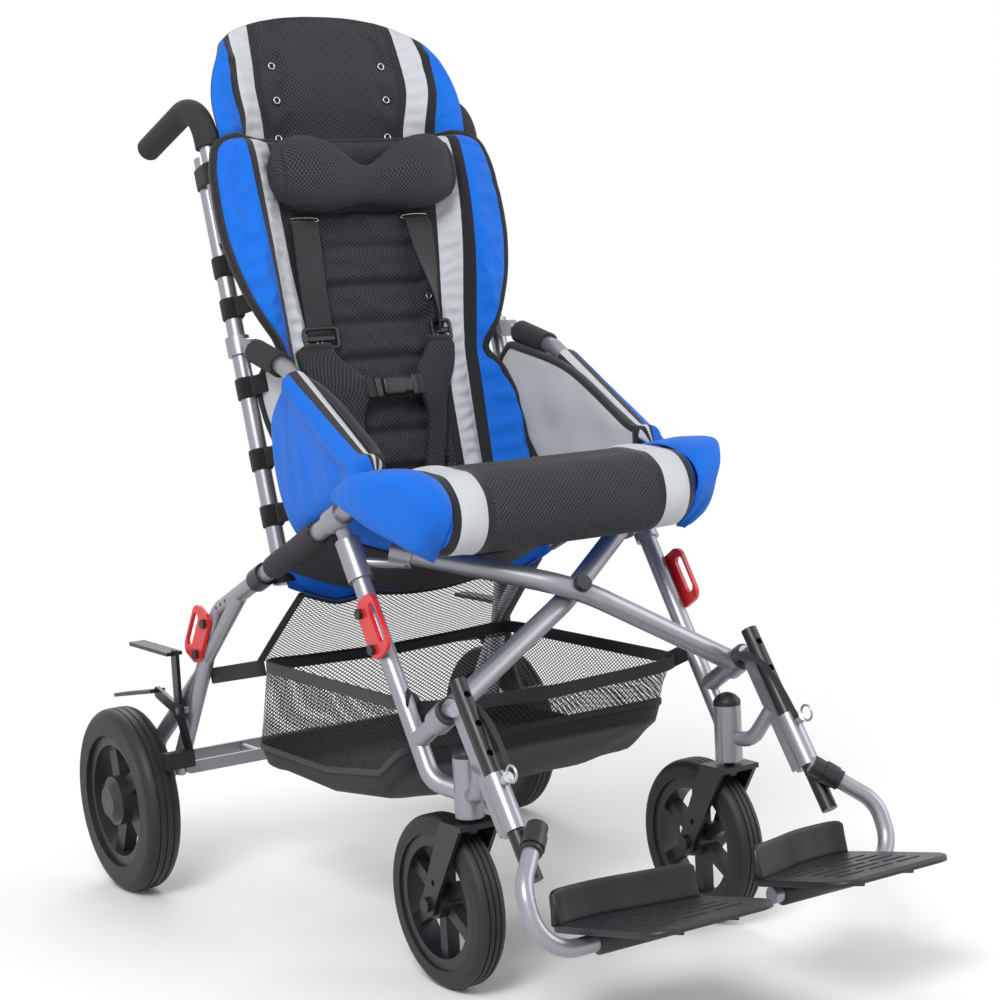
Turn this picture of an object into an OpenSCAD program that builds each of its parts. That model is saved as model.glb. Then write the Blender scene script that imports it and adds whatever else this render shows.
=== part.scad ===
// Special needs buggy: folding side frames, cross brace, casters, footrests and upholstery.
// Millimetres, +Z up, floor at zero, the seat faces -Y, +X is the sitter's left.

/* [Wheels] */
// Front wheel diameter
front_wheel_d = 200; // [185:1:206]
// Front tyre width
front_tyre_w = 36; // [28:1:38]
// Rear wheel diameter
rear_wheel_d = 248; // [230:1:260]
// Rear tyre width
rear_tyre_w = 48; // [36:1:52]
// Half the distance between the caster stems
caster_half_w = 185; // [175:1:195]
// Place of the caster stems along the buggy
caster_y = -227; // [-235:1:-220]
// How far the front axle trails its stem
caster_trail = 58; // [50:1:62]
// Half the distance between the rear wheel middles
rear_half_w = 300; // [292:1:315]
// Place of the rear axle along the buggy
rear_axle_y = 462; // [450:1:480]

/* [Side frames] */
// Diameter of the frame tubes
tube_d = 22; // [20:0.5:23]
// Bend radius of the frame tubes
bend_r = 45; // [35:1:60]
// Half the distance between the seat rails
rail_half_w = 222; // [218:1:226]
// Front end of the seat rail along the buggy
rail_front_y = -76; // [-82:1:-66]
// Height of the seat rail's front end
rail_front_z = 552; // [548:1:556]
// Rear bend of the seat rail along the buggy
rail_bend_y = 306; // [296:1:316]
// Height of the seat rail's rear bend
rail_bend_z = 387; // [380:1:394]
// Half the distance between the rear leg ends
leg_foot_half_w = 249; // [246:1:252]
// Rear leg end along the buggy
leg_foot_y = 407; // [402:1:412]
// Height of the rear leg end
leg_foot_z = 162; // [155:1:170]
// Half the distance between the front legs
leg_half_w = 208; // [206:1:211]
// Front leg top along the buggy
leg_top_y = -28; // [-32:1:-24]
// Height of the front leg top
leg_top_z = 500; // [496:1:504]
// Front leg bend along the buggy
leg_knee_y = -189; // [-193:1:-185]
// Height of the front leg bend
leg_knee_z = 245; // [241:1:249]
// Diameter of the caster housing
housing_d = 33; // [30:1:36]

/* [Cross brace] */
// Diameter of the brace tubes
brace_d = 25; // [22:0.5:25.5]
// Height on the front leg where the brace stub starts
stub_z = 287; // [282:1:292]
// Length of the brace stub
stub_length = 92; // [90:1:98]
// How far the brace bolt stands above the stubs, along the legs
brace_rise = 111; // [106:1:116]

/* [Back] */
// Half the distance between the back canes
cane_half_w = 195; // [194:0.5:197]
// Foot of the back cane along the buggy
cane_foot_y = 165; // [160:1:170]
// Height of the back cane's foot
cane_foot_z = 432; // [426:1:438]
// Top of the back cane along the buggy
cane_top_y = 320; // [314:1:326]
// Height of the back cane's top
cane_top_z = 968; // [960:1:976]
// Outside diameter of the push grips
grip_d = 32; // [28:1:32]
// Bend radius of the push handles
handle_bend_r = 55; // [45:1:65]
// How far the push handles reach back from their bend
handle_reach = 158; // [130:1:190]

/* [Armrests] */
// Height of the armrest clamps on the canes
arm_z = 728; // [722:1:734]
// Armrest bend along the buggy
arm_bend_y = 118; // [108:1:128]
// Height of the armrest bend
arm_bend_z = 702; // [696:1:708]
// Front bend of the armrest along the buggy
arm_front_y = -62; // [-68:1:-56]
// Height of the armrest's front bend
arm_front_z = 592; // [586:1:598]

/* [Footrests] */
// Half the distance between the footrest tubes
foot_half_w = 205; // [203:1:208]
// Diameter of the sliding tubes and the foot arms
slide_d = 19; // [17:0.5:20]
// Top of the sliding tube along the buggy
slide_top_y = -249; // [-252:1:-246]
// Height of the sliding tube's top
slide_top_z = 367; // [360:1:376]
// Foot of the sliding tube along the buggy
slide_foot_y = -382; // [-386:1:-378]
// Height of the sliding tube's foot
slide_foot_z = 172; // [168:1:176]
// Footplate width
plate_w = 163; // [140:1:168]
// Footplate length
plate_l = 176; // [150:1:190]
// Footplate thickness
plate_t = 8; // [6:0.5:10]
// Height of the heel wall
heel_h = 40; // [25:1:50]
// Toe up angle of the footplates
plate_pitch = 11; // [5:1:16]

/* [Upholstery] */
// Half the width of the seat pad
seat_half_w = 192; // [180:1:194]
// Half the width of the back pad
back_half_w = 203; // [190:1:206]
// Height of the back pad's top
back_top_z = 985; // [965:1:995]
// Height of the head pad's top
head_top_z = 1150; // [1120:1:1170]
// Half the width of the headrest
headrest_half_w = 132; // [110:1:150]
// Half the width of the basket
basket_half_w = 186; // [165:1:190]

/* [Hidden] */
$fn = 48;

// Clearance all round a turning or sliding fit
run_clear = 0.05;
// Clearance all round pieces that are fixed together
fit_clear = 0.05;
// Clearance between soft pieces and their neighbours
soft_clear = 0.4;
// Clearance between two soft pieces that lie on each other
lie_clear = 1.6;
// How far cutters and joined tubes run past a face
overrun = 1;
// Extra diameter of a bend over the straight tube that ends in it
swell = 0.2;
// Air between a wheel and the parts beside it
wheel_gap = 7;
// Rise along a direction that counts as steep
steep_share = 0.7;
// Corner rounding of a slot as a share of its width
slot_round_share = 0.47;

// Materials
silver = [0.63, 0.63, 0.66];
black = [0.1, 0.1, 0.11];
cloth_black = [0.16, 0.16, 0.17];
blue = [0.18, 0.5, 0.9];
red = [0.8, 0.12, 0.16];
grey = [0.3, 0.3, 0.32];

// Main points of the left side; the right side is its mirror image
rail_front = [rail_half_w, rail_front_y, rail_front_z];
rail_bend = [rail_half_w, rail_bend_y, rail_bend_z];
leg_foot = [leg_foot_half_w, leg_foot_y, leg_foot_z];
leg_top = [leg_half_w, leg_top_y, leg_top_z];
leg_knee = [leg_half_w, leg_knee_y, leg_knee_z];
cane_foot = [cane_half_w, cane_foot_y, cane_foot_z];
cane_top = [cane_half_w, cane_top_y, cane_top_z];
slide_top = [foot_half_w, slide_top_y, slide_top_z];
slide_foot = [foot_half_w, slide_foot_y, slide_foot_z];
across = [1, 0, 0];
upward = [0, 0, 1];

// Directions along and square to the sloping tubes
leg_dir = unit(leg_top - leg_knee);
leg_ahead = [0, -leg_dir[2], leg_dir[1]];
cane_dir = unit(cane_top - cane_foot);
cane_ahead = [0, -cane_dir[2], cane_dir[1]];
slide_dir = unit(slide_foot - slide_top);
slide_ahead = [0, slide_dir[2], -slide_dir[1]];
rail_slope = (rail_bend_z - rail_front_z) / (rail_bend_y - rail_front_y);
rail_dir = unit(rail_bend - rail_front);

// Points on the tubes
function unit(v) = v / norm(v);
function rail_z(y) = rail_front_z + (y - rail_front_y) * rail_slope;
function rail_at(y) = [rail_half_w, y, rail_z(y)];
function rail_part(share) = rail_front + (rail_bend - rail_front) * share;
function rear_leg_at(share) = rail_bend + (leg_foot - rail_bend) * share;
function leg_at(z) = leg_knee + leg_dir * (z - leg_knee_z) / leg_dir[2];
function cane_at(z) = cane_foot + cane_dir * (z - cane_foot_z) / cane_dir[2];
function cane_part(share) = cane_foot + (cane_top - cane_foot) * share;
function slide_at(z) = slide_top + slide_dir * (z - slide_top_z) / slide_dir[2];
function slide_part(share) = slide_top + (slide_foot - slide_top) * share;
function back_at(x, z, ahead) = [x, cane_at(z)[1], z] + cane_ahead * ahead;

// Caster and wheel sizes
front_r = front_wheel_d / 2;
rear_r = rear_wheel_d / 2;
housing_gap = 8;
housing_low_z = front_wheel_d + housing_gap;
housing_h = 68;
housing_top_z = housing_low_z + housing_h;
cap_rim_h = 5;
cap_dome_h = 10;
stem_d = 12;
stem_top_gap = 6;
crown_gap = 4;
crown_t = 6;
crown_half_l = 22;
fork_gap = 4;
fork_t = 5;
fork_foot_r = 14;
fork_hole_d = 7;
fork_hole_share = 0.75;
fork_hole_rise = 28;
nut_d = 17;
nut_h = 8;
front_axle_d = 10;
axle_head_d = 17;
axle_head_h = 5;
front_rim_d = 156;
front_rim_w = 30;
front_rim_t = 13;
front_hub_d = 36;
hub_side = 2;
spoke_root_share = 0.33;
front_spokes = 6;
front_spoke_w = 15;
front_spoke_t = 16;
rear_rim_d = 178;
rear_rim_w = 36;
rear_rim_t = 14;
rear_hub_d = 66;
rear_spokes = 5;
rear_spoke_w = 24;
rear_spoke_t = 18;
rear_spoke_lean = 24;
rear_axle_d = 12;
axle_end_gap = 8;
hub_cap_d = 58;
hub_cap_h = 9;
tyre_corner_share = 0.3;
groove_w = 2;
groove_t = 1.5;
groove_share = 0.2;

// Frame details
strut_y = 232;
strut_share = 0.3;
strut_d = 19;
axle_arm_share = 0.38;
axle_arm_x = rear_half_w - rear_tyre_w / 2 - wheel_gap - tube_d / 2;
axle_knee_ahead = 12;
axle_knee_rise = 72;
axle_arm_knee = [axle_arm_x, rear_axle_y - axle_knee_ahead, rear_r + axle_knee_rise];
axle_end = [axle_arm_x, rear_axle_y, rear_r];
axle_bend_r = 40;
link_t = 5;
link_w = 20;
axle_end_yz = [rear_axle_y, rear_r];
leg_foot_yz = [leg_foot_y, leg_foot_z];
boss_d = 30;
hole_d = 5;
hole_shares = [0.885, 0.922, 0.958];
bolt_d = 6;
bolt_head_d = 12;
bolt_head_h = 5;
bolt_depth = 8;
leg_bend_r = 35;
sleeve_wall = 3;
slide_sleeve_l = 65;
slide_sleeve_z = 246;
slide_hole_shares = [0.087, 0.236, 0.385];
hanger_w = 16;
hanger_t = 8;
hanger_l = 158;
hanger_z = 288;
hanger_back = 21;
arm_low_d = 18;
arm_low_bend_r = 25;
pin_d = 8;
pin_z = 262;
pin_stand = 13;
pin_ring_r = 9;
pin_wire_d = 3;
pin_head_d = 13;
pin_head_h = 8;
pin_short = 0.6;
bracket_wall = 4;
bracket_l = 48;
rail_clamp_l = 34;
rail_clamp_y = -32;
bracket_link_d = 18;
cup_wall = 4;
cup_gap = 0.7;
cup_l = 26;
cup_arm_d = 12;
collar_l = 6;
collar_wall = 4;
collar_gap = 3;
cane_block_y = 175;
cane_block_z = 447;
cane_block_l = 28;
cane_block_wall = 4;

// Brace points: across the buggy, ahead of the legs and up along them
stub_root = leg_at(stub_z);
function brace_at(x, ahead, up) = [x, stub_root[1], stub_root[2]] + leg_ahead * ahead + leg_dir * up;
brace_sleeve_ahead = 66;
brace_sleeve_l = 26;
brace_sleeve_d = 31;
brace_mid_ahead = 90;
brace_off_share = 0.63;
brace_a_ahead = brace_mid_ahead + brace_d * brace_off_share;
brace_b_ahead = brace_mid_ahead - brace_d * brace_off_share;
brace_top_ahead = 26;
brace_upper_rise = 115;
brace_top_rise = brace_rise + brace_upper_rise;
brace_end_in = 36;
brace_end_x = leg_half_w - brace_end_in;
brace_bend_r = 150;
brace_bolt_d = 8;
brace_head_d = 20;
brace_head_h = 8;
brace_head_gap = 1.8;
brace_nut_gap = 3.6;

// Tie-down loops
loop_t = 5;
loop_l = 72;
loop_w = 46;
loop_r = 14;
loop_slot_l = 48;
loop_slot_w = 15;
loop_slot_in = 26;
loop_back = 9;
loop_bolt_pitch = 46;
loop_z = 405;
rear_loop_share = 0.17;
rear_leg_dir = unit(rail_bend - leg_foot);
rear_loop_out = unit(across - rear_leg_dir * (across * rear_leg_dir));
function front_loop_point(a) = leg_at(loop_z) + across * (tube_d / 2) + leg_dir * a;
function rear_loop_point(a) = rear_leg_at(rear_loop_share) + rear_loop_out * (tube_d / 2) + rear_leg_dir * a;

// Push handles
handle_low_z = 852;
handle_gap = 0.1;
handle_off = tube_d + handle_gap;
handle_corner_z = 1046;
handle_drop_share = 0.33;
grip_start_z = 981;
handle_bolt_shares = [0.836, 0.907];
handle_bolt_share = 1.6;
handle_head_h = 2.4;
handle_bolt_depth = tube_d * handle_bolt_share;
handle_low = cane_at(handle_low_z) + cane_ahead * handle_off;
function handle_at(z) = handle_low + cane_dir * (z - handle_low[2]) / cane_dir[2];
function handle_bolt_seat(share) = cane_part(share) + cane_ahead * (handle_off + tube_d / 2);
grip_cap = 5;
clamp_d = 31;
clamp_l = 24;
lug_t = 6;
lug_r = 11;
lug_gap = 0.3;
lug_ahead = 34;
arm_pivot = cane_at(arm_z) - [0, lug_ahead, 0];
arm_x = cane_half_w + lug_gap / 2 + lug_t / 2;
lug_pin_d = 8;
arm_d = 22;
arm_grip_d = 31;
arm_grip_l = 66;
arm_start = 20;
arm_foot_ahead = 6;
arm_bend_r = 40;
arm_rest_gap = 0.5;
panel_t = 5;
panel_wave = 3;
panel_front_y = -44;
panel_rear_low_y = 138;
panel_rear_top_y = 182;
panel_lift = 6;
panel_drop_share = 0.6;
band_wall = 2;
band_l = 26;
band_shares = [0.157, 0.287, 0.453, 0.64, 0.739];
top_band_share = 0.95;
band_tab_t = 3;
band_tab_l = 13;

// Brakes
brake_share = 0.6;
brake_pivot = rear_leg_at(brake_share);
brake_x = axle_arm_x;
brake_t = 5;
brake_pin_d = 10;
brake_boss_d = 26;
brake_up_l = 74;
brake_down_l = 58;
brake_bar_w = 16;
pedal_w = 22;
pedal_t = 5;
pedal_top_l = 122;
pedal_low_l = 190;
pedal_low_lift = 16;
pedal_start_share = 0.33;
shoe_gap = 8;
shoe_l = 14;
shoe_h = 22;
shoe_reach = 22;
pedal_in = 8;
pedal_low_fall = 10;

// Spreader bars at the rear
bar_t = 5;
bar_w = 16;
bar_gap = 1;
bar_stand = 13;
bar_lap = 22;
bar_pin_d = 8;
spreader_share = 0.95;
spreader_pivot = rear_leg_at(spreader_share);
spacer_d = 10;
spacer_x = 140;

// Footrests
foot_turn_z = 200;
foot_turn_off = 24;
foot_web_d = 11;
foot_turn = slide_at(foot_turn_z) + slide_ahead * foot_turn_off;
foot_axis = unit([-0.634, 0.562, 0.532]);
socket_l = 16;
socket_wall = 4;
foot_out_l = 62;
foot_in_l = 24;
side_gap = 0.3;
foot_out_x = 39;
foot_tube_drop = 57;
foot_tube_ahead = 64;
foot_tube_y = slide_foot_y - foot_tube_ahead;
foot_tube_z = slide_foot_z - foot_tube_drop;
foot_corner = [foot_half_w + foot_out_x, foot_tube_y, foot_tube_z];
foot_tube_end_x = 60;
foot_bend_r = 44;
knob_d = 24;
knob_l = 14;
foot_sleeve_d = 27;
foot_sleeve_in = 12;
foot_sleeve_l = 104;
plate_heel = 31;
plate_corner_r = 26;
plate_inner_x = 40;
heel_t = 6;
heel_bulge = 16;
plate_slots = 4;
plate_slot_w = 7;
slot_share = 0.6;
slot_pitch_share = 3.4;
slot_pitch = plate_slot_w * slot_pitch_share;

// Upholstery
rail_sleeve_wall = 3.5;
rail_sleeve_front = 18;
rail_sleeve_rear = 140;
sling_sag = 52;
sling_t = 3;
sling_half_w = rail_half_w - tube_d / 2 - rail_sleeve_wall / 2;
seat_rear_y = 148;
seat_front_y = -205;
seat_lift = 30;
seat_front_z = 536;
seat_front_half_t = 48;
seat_flare = 24;
back_low_z = 484;
back_gap = 36;
back_t = 30;
back_channels = 13;
channel_share = 0.22;
back_width_shares = [[0, 0.7], [0.38, 0.72], [0.48, 0.76], [0.56, 0.9], [0.68, 0.97], [0.9, 1],
  [0.95, 0.95], [1, 0.78]];
back_dip = 55;
back_dip_shares = [[0, 1], [0.5, 0.97], [0.83, 0.6], [1, 0.42]];
head_dip_shares = [[0, 0.73], [0.33, 0.55], [0.52, 0.26], [1, 0.22]];
dip_from_x = 118;
dip_to_x = 168;
head_low_z = 905;
head_gap = 19;
head_t = back_gap - head_gap - soft_clear;
head_half_w = 176;
head_width_shares = [[0, 0.95], [0.3, 1], [0.68, 0.98], [0.86, 0.84], [0.95, 0.66], [1, 0.4]];
headrest_low_z = 888;
headrest_top_z = 974;
headrest_t = 62;
headrest_notch_share = 0.45;
notch_width_share = 0.3;
edge_low_share = 0.25;
flare_from_share = 0.74;
flare_to_share = 0.86;
nose_from_share = 0.5;
under_from_share = 0.62;
under_to_share = 0.78;
mesh_from_share = 0.45;
mesh_to_share = 0.55;
strap_w = 38;
strap_t = 3;
strap_x = 84;
strap_low_z = 720;
vest_w = 46;
vest_x = 62;
vest_low_z = 560;
vest_bar_z = 650;
buckle_w = 62;
buckle_h = 44;
buckle_t = 14;
lanyard_w = 10;
lanyard_t = 1.4;
lanyard_out = 48;
lanyard_dip_share = 0.1;
lanyard_step_share = 0.03;
basket_wall = 3;
basket_rim_z = 325;
basket_low_z = 182;
basket_rear_y = 254;
basket_rear_foot_y = 290;
basket_mid_y = -30;
basket_front_foot_y = -100;
basket_front_foot_z = 245;
basket_front_y = -138;
basket_band_l = 24;
basket_band_z = 312;
basket_hang_y = 204;
basket_hang_l = 20;
basket_strap_w = 22;

// Helpers
module along(p, q) {
  d = q - p;
  translate(p)
    rotate([0, acos(d[2] / norm(d)), atan2(d[1], d[0])])
      children();
}

// Places children with their Z axis along one direction and their Y axis towards another
module framed(p, z, toward) {
  c = unit(z);
  b = unit(toward - c * (toward * c));
  a = cross(b, c);
  multmatrix([[a[0], b[0], c[0], p[0]], [a[1], b[1], c[1], p[1]], [a[2], b[2], c[2], p[2]]])
    children();
}

module rod(p, q, dia) {
  along(p, q) cylinder(h = norm(q - p), d = dia);
}

function bend_trim(a, b, c, r) = r * tan(acos(unit(b - a) * unit(c - b)) / 2);

module elbow(a, b, c, r, dia) {
  u = unit(b - a);
  w = unit(c - b);
  turn = acos(u * w);
  n = unit(w - u * (w * u));
  k = cross(u, n);
  o = b - u * bend_trim(a, b, c, r) + n * r;
  multmatrix([[-n[0], u[0], k[0], o[0]], [-n[1], u[1], k[1], o[1]], [-n[2], u[2], k[2], o[2]]])
    rotate_extrude(angle = turn)
      translate([r, 0])
        circle(d = dia + swell);
}

// A tube bent round the inner points of a path
module bent_rod(path, r, dia) {
  last = len(path) - 1;
  for (i = [0 : last - 1]) {
    u = unit(path[i + 1] - path[i]);
    trim_a = i == 0 ? 0 : bend_trim(path[i - 1], path[i], path[i + 1], r) - overrun;
    trim_b = i == last - 1 ? 0 : bend_trim(path[i], path[i + 1], path[i + 2], r) - overrun;
    rod(path[i] + u * trim_a, path[i + 1] - u * trim_b, dia);
  }
  for (i = [1 : last - 1])
    elbow(path[i - 1], path[i], path[i + 1], r, dia);
}

module rounded_rect(w, h, r) {
  translate([r, 0]) square([w - 2 * r, h]);
  translate([0, r]) square([w, h - 2 * r]);
  for (x = [r, w - r], y = [r, h - r])
    translate([x, y]) circle(r = r);
}

// A closed soft solid between a front and a rear surface, both given over shares of the width and height
module soft_slab(nu, nv, front, rear) {
  m = (nu + 1) * (nv + 1);
  function id(i, j, k) = k * m + j * (nu + 1) + i;
  function pair(a, b, c, d) = [[a, b, c], [a, c, d]];
  points = concat([for (j = [0 : nv], i = [0 : nu]) front(i / nu, j / nv)],
    [for (j = [0 : nv], i = [0 : nu]) rear(i / nu, j / nv)]);
  faces = concat(
    [for (j = [0 : nv - 1], i = [0 : nu - 1])
      each pair(id(i, j, 0), id(i, j + 1, 0), id(i + 1, j + 1, 0), id(i + 1, j, 0))],
    [for (j = [0 : nv - 1], i = [0 : nu - 1])
      each pair(id(i, j, 1), id(i + 1, j, 1), id(i + 1, j + 1, 1), id(i, j + 1, 1))],
    [for (i = [0 : nu - 1])
      each pair(id(i, 0, 0), id(i + 1, 0, 0), id(i + 1, 0, 1), id(i, 0, 1))],
    [for (i = [0 : nu - 1])
      each pair(id(i, nv, 0), id(i, nv, 1), id(i + 1, nv, 1), id(i + 1, nv, 0))],
    [for (j = [0 : nv - 1])
      each pair(id(0, j, 0), id(0, j, 1), id(0, j + 1, 1), id(0, j + 1, 0))],
    [for (j = [0 : nv - 1])
      each pair(id(nu, j, 0), id(nu, j + 1, 0), id(nu, j + 1, 1), id(nu, j, 1))]);
  polyhedron(points, faces);
}

// A flat bar with round ends, standing in a plane across the buggy
module yz_bar(x, t, a, b, w) {
  d = b - a;
  translate([x, a[0], a[1]])
    rotate([atan2(d[1], d[0]), 0, 0]) {
      translate([0, 0, -w / 2]) cube([t, norm(d), w]);
      rotate([0, 90, 0]) cylinder(h = t, d = w);
      translate([0, norm(d), 0]) rotate([0, 90, 0]) cylinder(h = t, d = w);
    }
}

// A bolt standing on a point, head outwards along a direction and shank inwards
module bolt(p, out, dia, head_d, head_h, depth) {
  framed(p, out, abs(out[2]) > steep_share ? across : upward) {
    cylinder(h = head_h, d = head_d);
    translate([0, 0, -depth]) cylinder(h = depth + head_h / 2, d = dia);
  }
}

module bolt_hole(p, out, dia, depth) {
  framed(p, out, abs(out[2]) > steep_share ? across : upward)
    translate([0, 0, -depth - overrun])
      cylinder(h = depth + 2 * overrun, d = dia + 2 * fit_clear);
}

module mirrored() {
  mirror(across) children();
}

// Side frame: seat rail, rear leg, strut and axle arm, welded together
module side_rail() {
  axle_out = rear_half_w + rear_rim_w / 2 - axle_end_gap;
  color(silver)
    difference() {
      union() {
        bent_rod([rail_front, rail_bend, leg_foot], bend_r, tube_d);
        rod(rail_at(strut_y), rear_leg_at(strut_share), strut_d);
        bent_rod([rear_leg_at(axle_arm_share), axle_arm_knee, axle_end], axle_bend_r, tube_d);
        yz_bar(leg_foot_half_w + tube_d / 2 - link_t / 2, link_t, leg_foot_yz, axle_end_yz, link_w);
        rod(axle_end - across * boss_d / 2, axle_end + across * (tube_d / 2 + wheel_gap / 2), boss_d);
        rod(axle_end, [axle_out, rear_axle_y, rear_r], rear_axle_d);
        rod(brake_pivot, [brake_x + brake_t + lug_gap, brake_pivot[1], brake_pivot[2]], brake_pin_d);
      }
      for (share = hole_shares)
        rod(rail_part(share) - across * tube_d, rail_part(share) + across * tube_d, hole_d);
      for (a = [-loop_bolt_pitch / 2, loop_bolt_pitch / 2])
        bolt_hole(rear_loop_point(a), rear_loop_out, bolt_d, bolt_depth);
      spreader_bore();
    }
}

// Holes through the leg end for the spreader pivot
module spreader_bore() {
  p = spreader_pivot;
  rod(p - [0, tube_d, 0], p + [0, tube_d, 0], bar_pin_d + 2 * run_clear);
}

// Front frame: leg, caster housing, brace stub, footrest hanger and its sleeve, welded together
module front_frame() {
  housing = [caster_half_w, caster_y, housing_low_z];
  hanger = slide_at(hanger_z) - slide_ahead * hanger_back;
  stub_end = stub_root + leg_ahead * stub_length;
  arm_low = [caster_half_w, caster_y, leg_knee_z - arm_low_d / 2];
  arm_mid = [(caster_half_w + foot_half_w) / 2, caster_y - housing_d, arm_low[2]];
  color(silver)
    difference() {
      union() {
        bent_rod([leg_top, leg_knee, [caster_half_w, caster_y, leg_knee_z - tube_d / 2]], leg_bend_r, tube_d);
        translate(housing) cylinder(h = housing_h, d = housing_d);
        rod(stub_root, stub_end, tube_d);
        bent_rod([arm_low, arm_mid, hanger], arm_low_bend_r, arm_low_d);
        framed(hanger, slide_dir, slide_ahead)
          translate([-hanger_t / 2, -hanger_w / 2, -hanger_l / 2])
            cube([hanger_t, hanger_w, hanger_l]);
        slide_sleeve(slide_d + 2 * sleeve_wall + 2 * run_clear);
        framed(slide_at(slide_sleeve_z), slide_dir, slide_ahead)
          translate([-hanger_t / 2, -hanger_back, -slide_sleeve_l / 2])
            cube([hanger_t, hanger_back - slide_d / 2 - run_clear, slide_sleeve_l]);
      }
      slide_sleeve_bore();
      translate(housing - [0, 0, overrun])
        cylinder(h = housing_h + overrun - stem_top_gap + run_clear, d = stem_d + 2 * run_clear);
      bolt_hole(pin_seat, slide_ahead, pin_d, sleeve_wall + overrun);
      for (a = [-loop_bolt_pitch / 2, loop_bolt_pitch / 2])
        bolt_hole(front_loop_point(a), across, bolt_d, bolt_depth);
    }
}

module slide_sleeve(dia) {
  p = slide_at(slide_sleeve_z);
  rod(p - slide_dir * slide_sleeve_l / 2, p + slide_dir * slide_sleeve_l / 2, dia);
}

module slide_sleeve_bore() {
  p = slide_at(slide_sleeve_z);
  l = slide_sleeve_l / 2 + overrun;
  rod(p - slide_dir * l, p + slide_dir * l, slide_d + 2 * run_clear);
}

// Where the pull pin enters the sleeve
pin_seat = slide_at(pin_z) + slide_ahead * (slide_d / 2 + sleeve_wall + run_clear);

// Bracket that joins the front leg to the seat rail and carries the brace cup
module rail_bracket(brace_ahead) {
  top = leg_top + leg_dir * bracket_wall;
  low = leg_top - leg_dir * bracket_l;
  clamp = rail_at(rail_clamp_y);
  end = brace_at(brace_end_x, brace_top_ahead, brace_top_rise);
  run = unit(end - brace_at(0, brace_ahead, brace_rise));
  mid = end - run * cup_l / 2;
  foot = mid - leg_dir * (brace_d / 2 + cup_gap + cup_wall / 2);
  cup_d = brace_d + 2 * cup_gap;
  color(silver)
    difference() {
      union() {
        rod(low, top, tube_d + 2 * bracket_wall);
        rod(clamp - rail_dir * rail_clamp_l / 2, clamp + rail_dir * rail_clamp_l / 2,
          tube_d + 2 * bracket_wall);
        rod(top - leg_dir * bracket_wall, clamp, bracket_link_d);
        rod(foot, leg_top - leg_dir * bracket_l / 2, cup_arm_d);
        framed(mid, run, leg_dir)
          difference() {
            translate([0, 0, -cup_l / 2]) cylinder(h = cup_l, d = cup_d + 2 * cup_wall);
            translate([-cup_d, 0, -cup_l]) cube([2 * cup_d, 2 * cup_d, 2 * cup_l]);
          }
      }
      rod(low - leg_dir * overrun, leg_top + leg_dir * fit_clear, tube_d + 2 * fit_clear);
      rod(clamp - rail_dir * rail_clamp_l, clamp + rail_dir * rail_clamp_l, tube_d + 2 * fit_clear);
      framed(mid, run, leg_dir) {
        translate([0, 0, -cup_l]) cylinder(h = 2 * cup_l, d = cup_d);
        translate([-cup_d / 2, 0, -cup_l]) cube([cup_d, cup_d, 2 * cup_l]);
      }
    }
}

// Black caps, collars and bolts of one side frame
module fittings() {
  cap_r = housing_d / 2;
  dome_r = (cap_r * cap_r + cap_dome_h * cap_dome_h) / (2 * cap_dome_h);
  collar = stub_root + leg_ahead * (brace_sleeve_ahead + brace_sleeve_l / 2 + collar_gap);
  ring_d = tube_d + 2 * fit_clear;
  color(black) {
    translate([caster_half_w, caster_y, housing_top_z]) {
      cylinder(h = cap_rim_h, d = housing_d);
      intersection() {
        translate([0, 0, cap_rim_h + cap_dome_h - dome_r]) sphere(r = dome_r);
        cylinder(h = housing_d, d = housing_d - swell);
      }
    }
    difference() {
      rod(collar, collar + leg_ahead * collar_l, tube_d + 2 * collar_wall);
      rod(collar - leg_ahead * overrun, collar + leg_ahead * (collar_l + overrun), ring_d);
    }
    for (a = [-loop_bolt_pitch / 2, loop_bolt_pitch / 2]) {
      bolt(front_loop_point(a) + across * loop_t, across, bolt_d, bolt_head_d, bolt_head_h,
        bolt_depth + loop_t);
      bolt(rear_loop_point(a) + rear_loop_out * loop_t, rear_loop_out, bolt_d, bolt_head_d, bolt_head_h,
        bolt_depth + loop_t);
    }
    cane_pivot();
    for (share = handle_bolt_shares)
      bolt(handle_bolt_seat(share), cane_ahead, bolt_d, bolt_head_d, handle_head_h, handle_bolt_depth);
  }
}

// Black block that ties the foot of the back cane to the seat rail
module cane_pivot() {
  p = rail_at(cane_block_y);
  q = cane_at(cane_block_z);
  outer_d = tube_d + 2 * cane_block_wall;
  difference() {
    union() {
      rod(p - rail_dir * cane_block_l / 2, p + rail_dir * cane_block_l / 2, outer_d);
      rod(q - cane_dir * cane_block_l / 2, q + cane_dir * cane_block_l / 2, outer_d);
    }
    rod(p - rail_dir * cane_block_l, p + rail_dir * cane_block_l, tube_d + 2 * fit_clear);
    rod(q - cane_dir * cane_block_l, q + cane_dir * cane_block_l, tube_d + 2 * fit_clear);
  }
}

// Red loops for tie-down hooks, one on the front leg and one on the rear leg
module tie_downs() {
  color(red) {
    framed(front_loop_point(0), across, leg_dir) tie_down(-1);
    framed(rear_loop_point(0), rear_loop_out, rear_leg_dir) tie_down(1);
  }
}

module tie_down(turn) {
  scale([turn, 1, 1])
    linear_extrude(loop_t)
      difference() {
        translate([-loop_back, -loop_l / 2]) rounded_rect(loop_w, loop_l, loop_r);
        translate([loop_slot_in - loop_slot_w / 2, -loop_slot_l / 2])
          rounded_rect(loop_slot_w, loop_slot_l, loop_slot_w * slot_round_share);
        for (y = [-loop_bolt_pitch / 2, loop_bolt_pitch / 2])
          translate([0, y]) circle(d = bolt_d + 2 * fit_clear);
      }
}

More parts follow.
